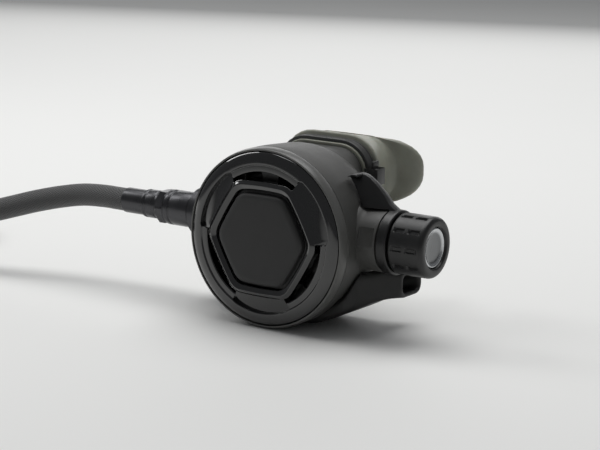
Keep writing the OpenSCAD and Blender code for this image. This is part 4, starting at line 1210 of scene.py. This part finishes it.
def build_mouthpiece():
    """The silicone mouthpiece: boot, lip shield and bite tabs round one bore."""
    bend = 48.4         # radius that the lip shield is curved to

    def sag(x):
        """Depth of the shield's front, that far from its middle."""
        return 69.4 - math.sqrt(max(0, bend ** 2 - min(abs(x), 33) ** 2))

    def ring(width, height, corner, y=None, behind=None, dome=0.0):
        """A loop at one depth, or a distance behind the shield's front, its middle raised."""
        out = []
        for p in oblong(width, height, corner):
            depth = y if behind is None else sag(p.x) + behind
            rise = dome * max(0, 1 - (p.x / 25) ** 2) * p.y / (height / 2)
            out.append(MOUTH @ Vector((p.x, depth, p.y + rise)))
        return out

    loops = [ring(41.9, 28.3, 11.45, 0.2), ring(44.2, 30.6, 12.6, 0), ring(44.8, 31.2, 12.9, 0.25),
             ring(45, 31.4, 13, 0.7), ring(45, 31.4, 13, 6.5), ring(45.6, 32, 13.2, 6.7),
             ring(48.8, 36, 14.8, 6.8), ring(49.9, 37.2, 15.3, 7.15), ring(50.2, 37.5, 15.4, 7.8),
             ring(50, 37.3, 15.4, 8.6)]
    for t in (0.15, 0.3, 0.45, 0.6, 0.75, 0.9):
        loops.append(ring(50 - 6.8 * t, 37.3 - 5.4 * t, 15.4 - 2.6 * t, 8.6 + 12.0 * t))
    loops += [ring(44.6, 31.0, 12.9, behind=-0.6, dome=0.6),
              ring(46.4, 29.8, 12.7, behind=-0.3, dome=1.1)]
    for width, height, behind, corner in (
            (49, 29, -0.1, 12.6), (52.5, 28.4, 0, 12.4), (56.5, 27.8, 0, 12.2),
            (60.5, 27.3, 0.05, 12), (62.7, 27.2, 0.35, 11.8), (63.6, 27.4, 1.1, 11.8),
            (63.6, 27.4, 2.4, 11.8), (62.9, 27, 3.2, 11.6), (61.4, 26.4, 3.5, 11.4)):
        loops.append(ring(width, height, corner, behind=behind, dome=1.9))
    loops += [ring(56, 24.5, 11.5, behind=3.5, dome=1.6), ring(46, 21, 10, behind=3.5, dome=0.8),
              ring(37, 17.5, 8.4, behind=3.6), ring(33.4, 15.2, 7.4, behind=3.3),
              ring(32.2, 14.2, 7, behind=2.4), ring(32, 14, 6.9, y=22), ring(32, 14, 6.9, y=13.4),
              ring(32.4, 14.4, 7, y=12.9), ring(38, 24, 10, y=13.1), ring(41.7, 28.1, 11.4, y=13.1),
              ring(41.9, 28.3, 11.45, y=12.6), ring(41.9, 28.3, 11.45, 0.2)]
    bm = bmesh.new()
    lofted(bm, loops)
    for side in (-1, 1):
        tab = bmesh.new()
        rows = []
        for y, half, thick in (
                (25.5, 5.6, 1.6), (28, 6.2, 1.5), (36, 6.25, 1.45), (40.5, 6.2, 1.45),
                (42.2, 6.2, 1.7), (43.6, 6.1, 2.6), (45.4, 6.0, 2.7), (46.7, 5.6, 2.2),
                (47.35, 5.0, 1.4), (47.5, 4.2, 0.7)):
            row = []
            for p in oblong(2 * half, 2 * thick, thick):
                x = side * 18.25 + p.x
                row.append(MOUTH @ Vector((x, max(y, sag(x) + 1.2), p.y)))
            rows.append(row)
        lofted(tab, rows, capped=True)
        joined(bm, tab)
    finished(bm, "mouth_grip", "mouth_silicone", stands_for=("mouthpiece",), sharp=50)


def build_tie():
    """The strap that holds the mouthpiece, with its locking head and trimmed end."""
    bm = bmesh.new()
    rings = [(0.05, 1.05), (1.1, 1.0), (1.42, 1.2), (1.5, 1.55), (1.5, 1.95), (1.3, 2.15),
             (1.3, 5.25), (1.5, 5.45), (1.5, 5.85), (1.42, 6.2), (1.1, 6.4), (0.05, 6.35),
             (0.05, 1.05)]
    lofted(bm, [mouth_loop(*grown(STRAP_SEAT, out), y) for out, y in rings])
    head = block(7.0, 6.8, 7.8)
    for face in [f for f in head.faces if abs(f.normal.z) > 0.9]:
        bmesh.ops.inset_region(head, faces=[face], thickness=0.9, depth=0)
        bmesh.ops.translate(head, vec=face.normal * -1.6, verts=face.verts)
    rounded_edges(head, 0.45, 3, 50)
    moved(head, MOUTH @ Matrix.Translation((25.2, 3.3, 2.4)))
    joined(bm, head)
    stub = block(1.2, 4.6, 3.2)
    rounded_edges(stub, 0.3, 2, 50)
    moved(stub, MOUTH @ Matrix.Translation((25.3, 3.6, 7.4)))
    joined(bm, stub)
    finished(bm, "mouth_strap", "tie_nylon", stands_for=("mouthpiece_tie",))


def build_springs():
    """The button's spring and the poppet's, made from the frame's own coils."""
    for node, name, joint, axis, travel in (        # the axis by number, the travel in metres
            ("button_spring", "button_coil", "purge_press", 1, 0.004),
            ("poppet_spring", "poppet_coil", "poppet_lift", 0, 0.00196)):
        low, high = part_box(node)
        bm = bmesh.new()
        bm.from_mesh(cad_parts[node].data)
        bmesh.ops.remove_doubles(bm, verts=bm.verts, dist=1e-6)
        moved(bm, TO_FRAME.inverted())
        spring = finished(bm, name, "stainless", stands_for=(node,), mend=False)
        along, fixed = [0, 0, 0], [0, 0, 0]
        along[axis], fixed[axis] = 1, high[axis]
        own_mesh(spring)


def dress_valve():
    """Gives the frame's own inner pieces their finishes."""
    slots = {
        "stainless": ("diaphragm_disc", "demand_lever", "knob_screw"),
        "plated_brass": ("orifice", "spring_pad", "adjust_spindle", "packing_nut"),
        "black_plated": ("valve_barrel", "barrel_nut"),
        "white_acetal": ("poppet",),
        "black_rubber": ("slip_ring", "diaphragm", "barrel_oring", "orifice_oring", "poppet_seat",
                         "spindle_oring", "exhaust_valve", "inlet_oring", "connector_oring"),
        "case_black": ("flow_vane",),
    }
    for slot, names in slots.items():
        for name in names:
            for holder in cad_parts[name].material_slots:
                holder.material = surface(slot)


# ---------------------------------------------------------------------------------------------
# Operators, panel and registration
# ---------------------------------------------------------------------------------------------
class REGULATOR_OT_camera(bpy.types.Operator):
    """Places the camera"""

    bl_idname = "regulator.camera"
    bl_label = "Camera"

    def execute(self, context):
        build_camera()
        return {"FINISHED"}


class REGULATOR_OT_hose(bpy.types.Operator):
    """Builds the hose, its ferrules, coil tie and connector"""

    bl_idname = "regulator.hose"
    bl_label = "Hose"

    def execute(self, context):
        build_hose()
        return {"FINISHED"}


class REGULATOR_OT_fittings(bpy.types.Operator):
    """Builds the swivel nut and the hose's stem"""

    bl_idname = "regulator.fittings"
    bl_label = "Inlet fittings"

    def execute(self, context):
        build_fittings()
        return {"FINISHED"}


class REGULATOR_OT_case(bpy.types.Operator):
    """Builds the case"""

    bl_idname = "regulator.case"
    bl_label = "Case"

    def execute(self, context):
        build_case()
        return {"FINISHED"}


class REGULATOR_OT_cover(bpy.types.Operator):
    """Builds the cover's band and web"""

    bl_idname = "regulator.cover"
    bl_label = "Cover band"

    def execute(self, context):
        build_cover()
        return {"FINISHED"}


class REGULATOR_OT_bezel(bpy.types.Operator):
    """Builds the polished bezel"""

    bl_idname = "regulator.bezel"
    bl_label = "Bezel"

    def execute(self, context):
        build_bezel()
        return {"FINISHED"}


class REGULATOR_OT_button(bpy.types.Operator):
    """Builds the purge button"""

    bl_idname = "regulator.button"
    bl_label = "Purge button"

    def execute(self, context):
        build_button()
        return {"FINISHED"}


class REGULATOR_OT_knob(bpy.types.Operator):
    """Builds the knob and its disc"""

    bl_idname = "regulator.knob"
    bl_label = "Adjusting knob"

    def execute(self, context):
        build_knob()
        return {"FINISHED"}


class REGULATOR_OT_lever(bpy.types.Operator):
    """Builds the pre-dive lever"""

    bl_idname = "regulator.lever"
    bl_label = "Pre-dive lever"

    def execute(self, context):
        build_lever()
        return {"FINISHED"}


class REGULATOR_OT_tee(bpy.types.Operator):
    """Builds the exhaust tee"""

    bl_idname = "regulator.tee"
    bl_label = "Exhaust tee"

    def execute(self, context):
        build_tee()
        return {"FINISHED"}


class REGULATOR_OT_mouthpiece(bpy.types.Operator):
    """Builds the mouthpiece"""

    bl_idname = "regulator.mouthpiece"
    bl_label = "Mouthpiece"

    def execute(self, context):
        build_mouthpiece()
        return {"FINISHED"}


class REGULATOR_OT_tie(bpy.types.Operator):
    """Builds the mouthpiece's tie"""

    bl_idname = "regulator.tie"
    bl_label = "Mouthpiece tie"

    def execute(self, context):
        build_tie()
        return {"FINISHED"}


class REGULATOR_OT_springs(bpy.types.Operator):
    """Builds the springs"""

    bl_idname = "regulator.springs"
    bl_label = "Springs"

    def execute(self, context):
        build_springs()
        return {"FINISHED"}


class REGULATOR_OT_valve(bpy.types.Operator):
    """Finishes the frame's inner pieces"""

    bl_idname = "regulator.valve"
    bl_label = "Valve finishes"

    def execute(self, context):
        dress_valve()
        return {"FINISHED"}


class REGULATOR_OT_stage(bpy.types.Operator):
    """Builds the floor and the lights"""

    bl_idname = "regulator.stage"
    bl_label = "Stage"

    def execute(self, context):
        build_lights()
        return {"FINISHED"}


OPERATORS = (
    REGULATOR_OT_camera, REGULATOR_OT_hose, REGULATOR_OT_fittings, REGULATOR_OT_case,
    REGULATOR_OT_cover, REGULATOR_OT_bezel, REGULATOR_OT_button, REGULATOR_OT_knob,
    REGULATOR_OT_lever, REGULATOR_OT_tee, REGULATOR_OT_mouthpiece, REGULATOR_OT_tie,
    REGULATOR_OT_springs, REGULATOR_OT_valve, REGULATOR_OT_stage,
)


class REGULATOR_PT_panel(bpy.types.Panel):
    """Lists the regulator's pieces, sizes and colours"""

    bl_label = "Demand Regulator"
    bl_idname = "REGULATOR_PT_panel"
    bl_space_type = "VIEW_3D"
    bl_region_type = "UI"
    bl_category = "Regulator"

    def draw(self, context):
        column = self.layout.column()
        for cls in OPERATORS:
            column.operator(cls.bl_idname)
        for group in (context.scene.regulator_sizes, context.scene.regulator_colours):
            for key in group.bl_rna.properties.keys():
                if key not in ("rna_type", "name"):
                    column.prop(group, key)


CLASSES = (RegulatorSizes, RegulatorColours, *OPERATORS, REGULATOR_PT_panel)


def register():
    for cls in CLASSES:
        bpy.utils.register_class(cls)
    bpy.types.Scene.regulator_sizes = bpy.props.PointerProperty(type=RegulatorSizes)
    bpy.types.Scene.regulator_colours = bpy.props.PointerProperty(type=RegulatorColours)


def unregister():
    del bpy.types.Scene.regulator_colours
    del bpy.types.Scene.regulator_sizes
    for cls in reversed(CLASSES):
        bpy.utils.unregister_class(cls)


def main():
    register()
    for cls in OPERATORS:
        group, key = cls.bl_idname.split(".")
        getattr(getattr(bpy.ops, group), key)()


if __name__ == "__main__":
    main()
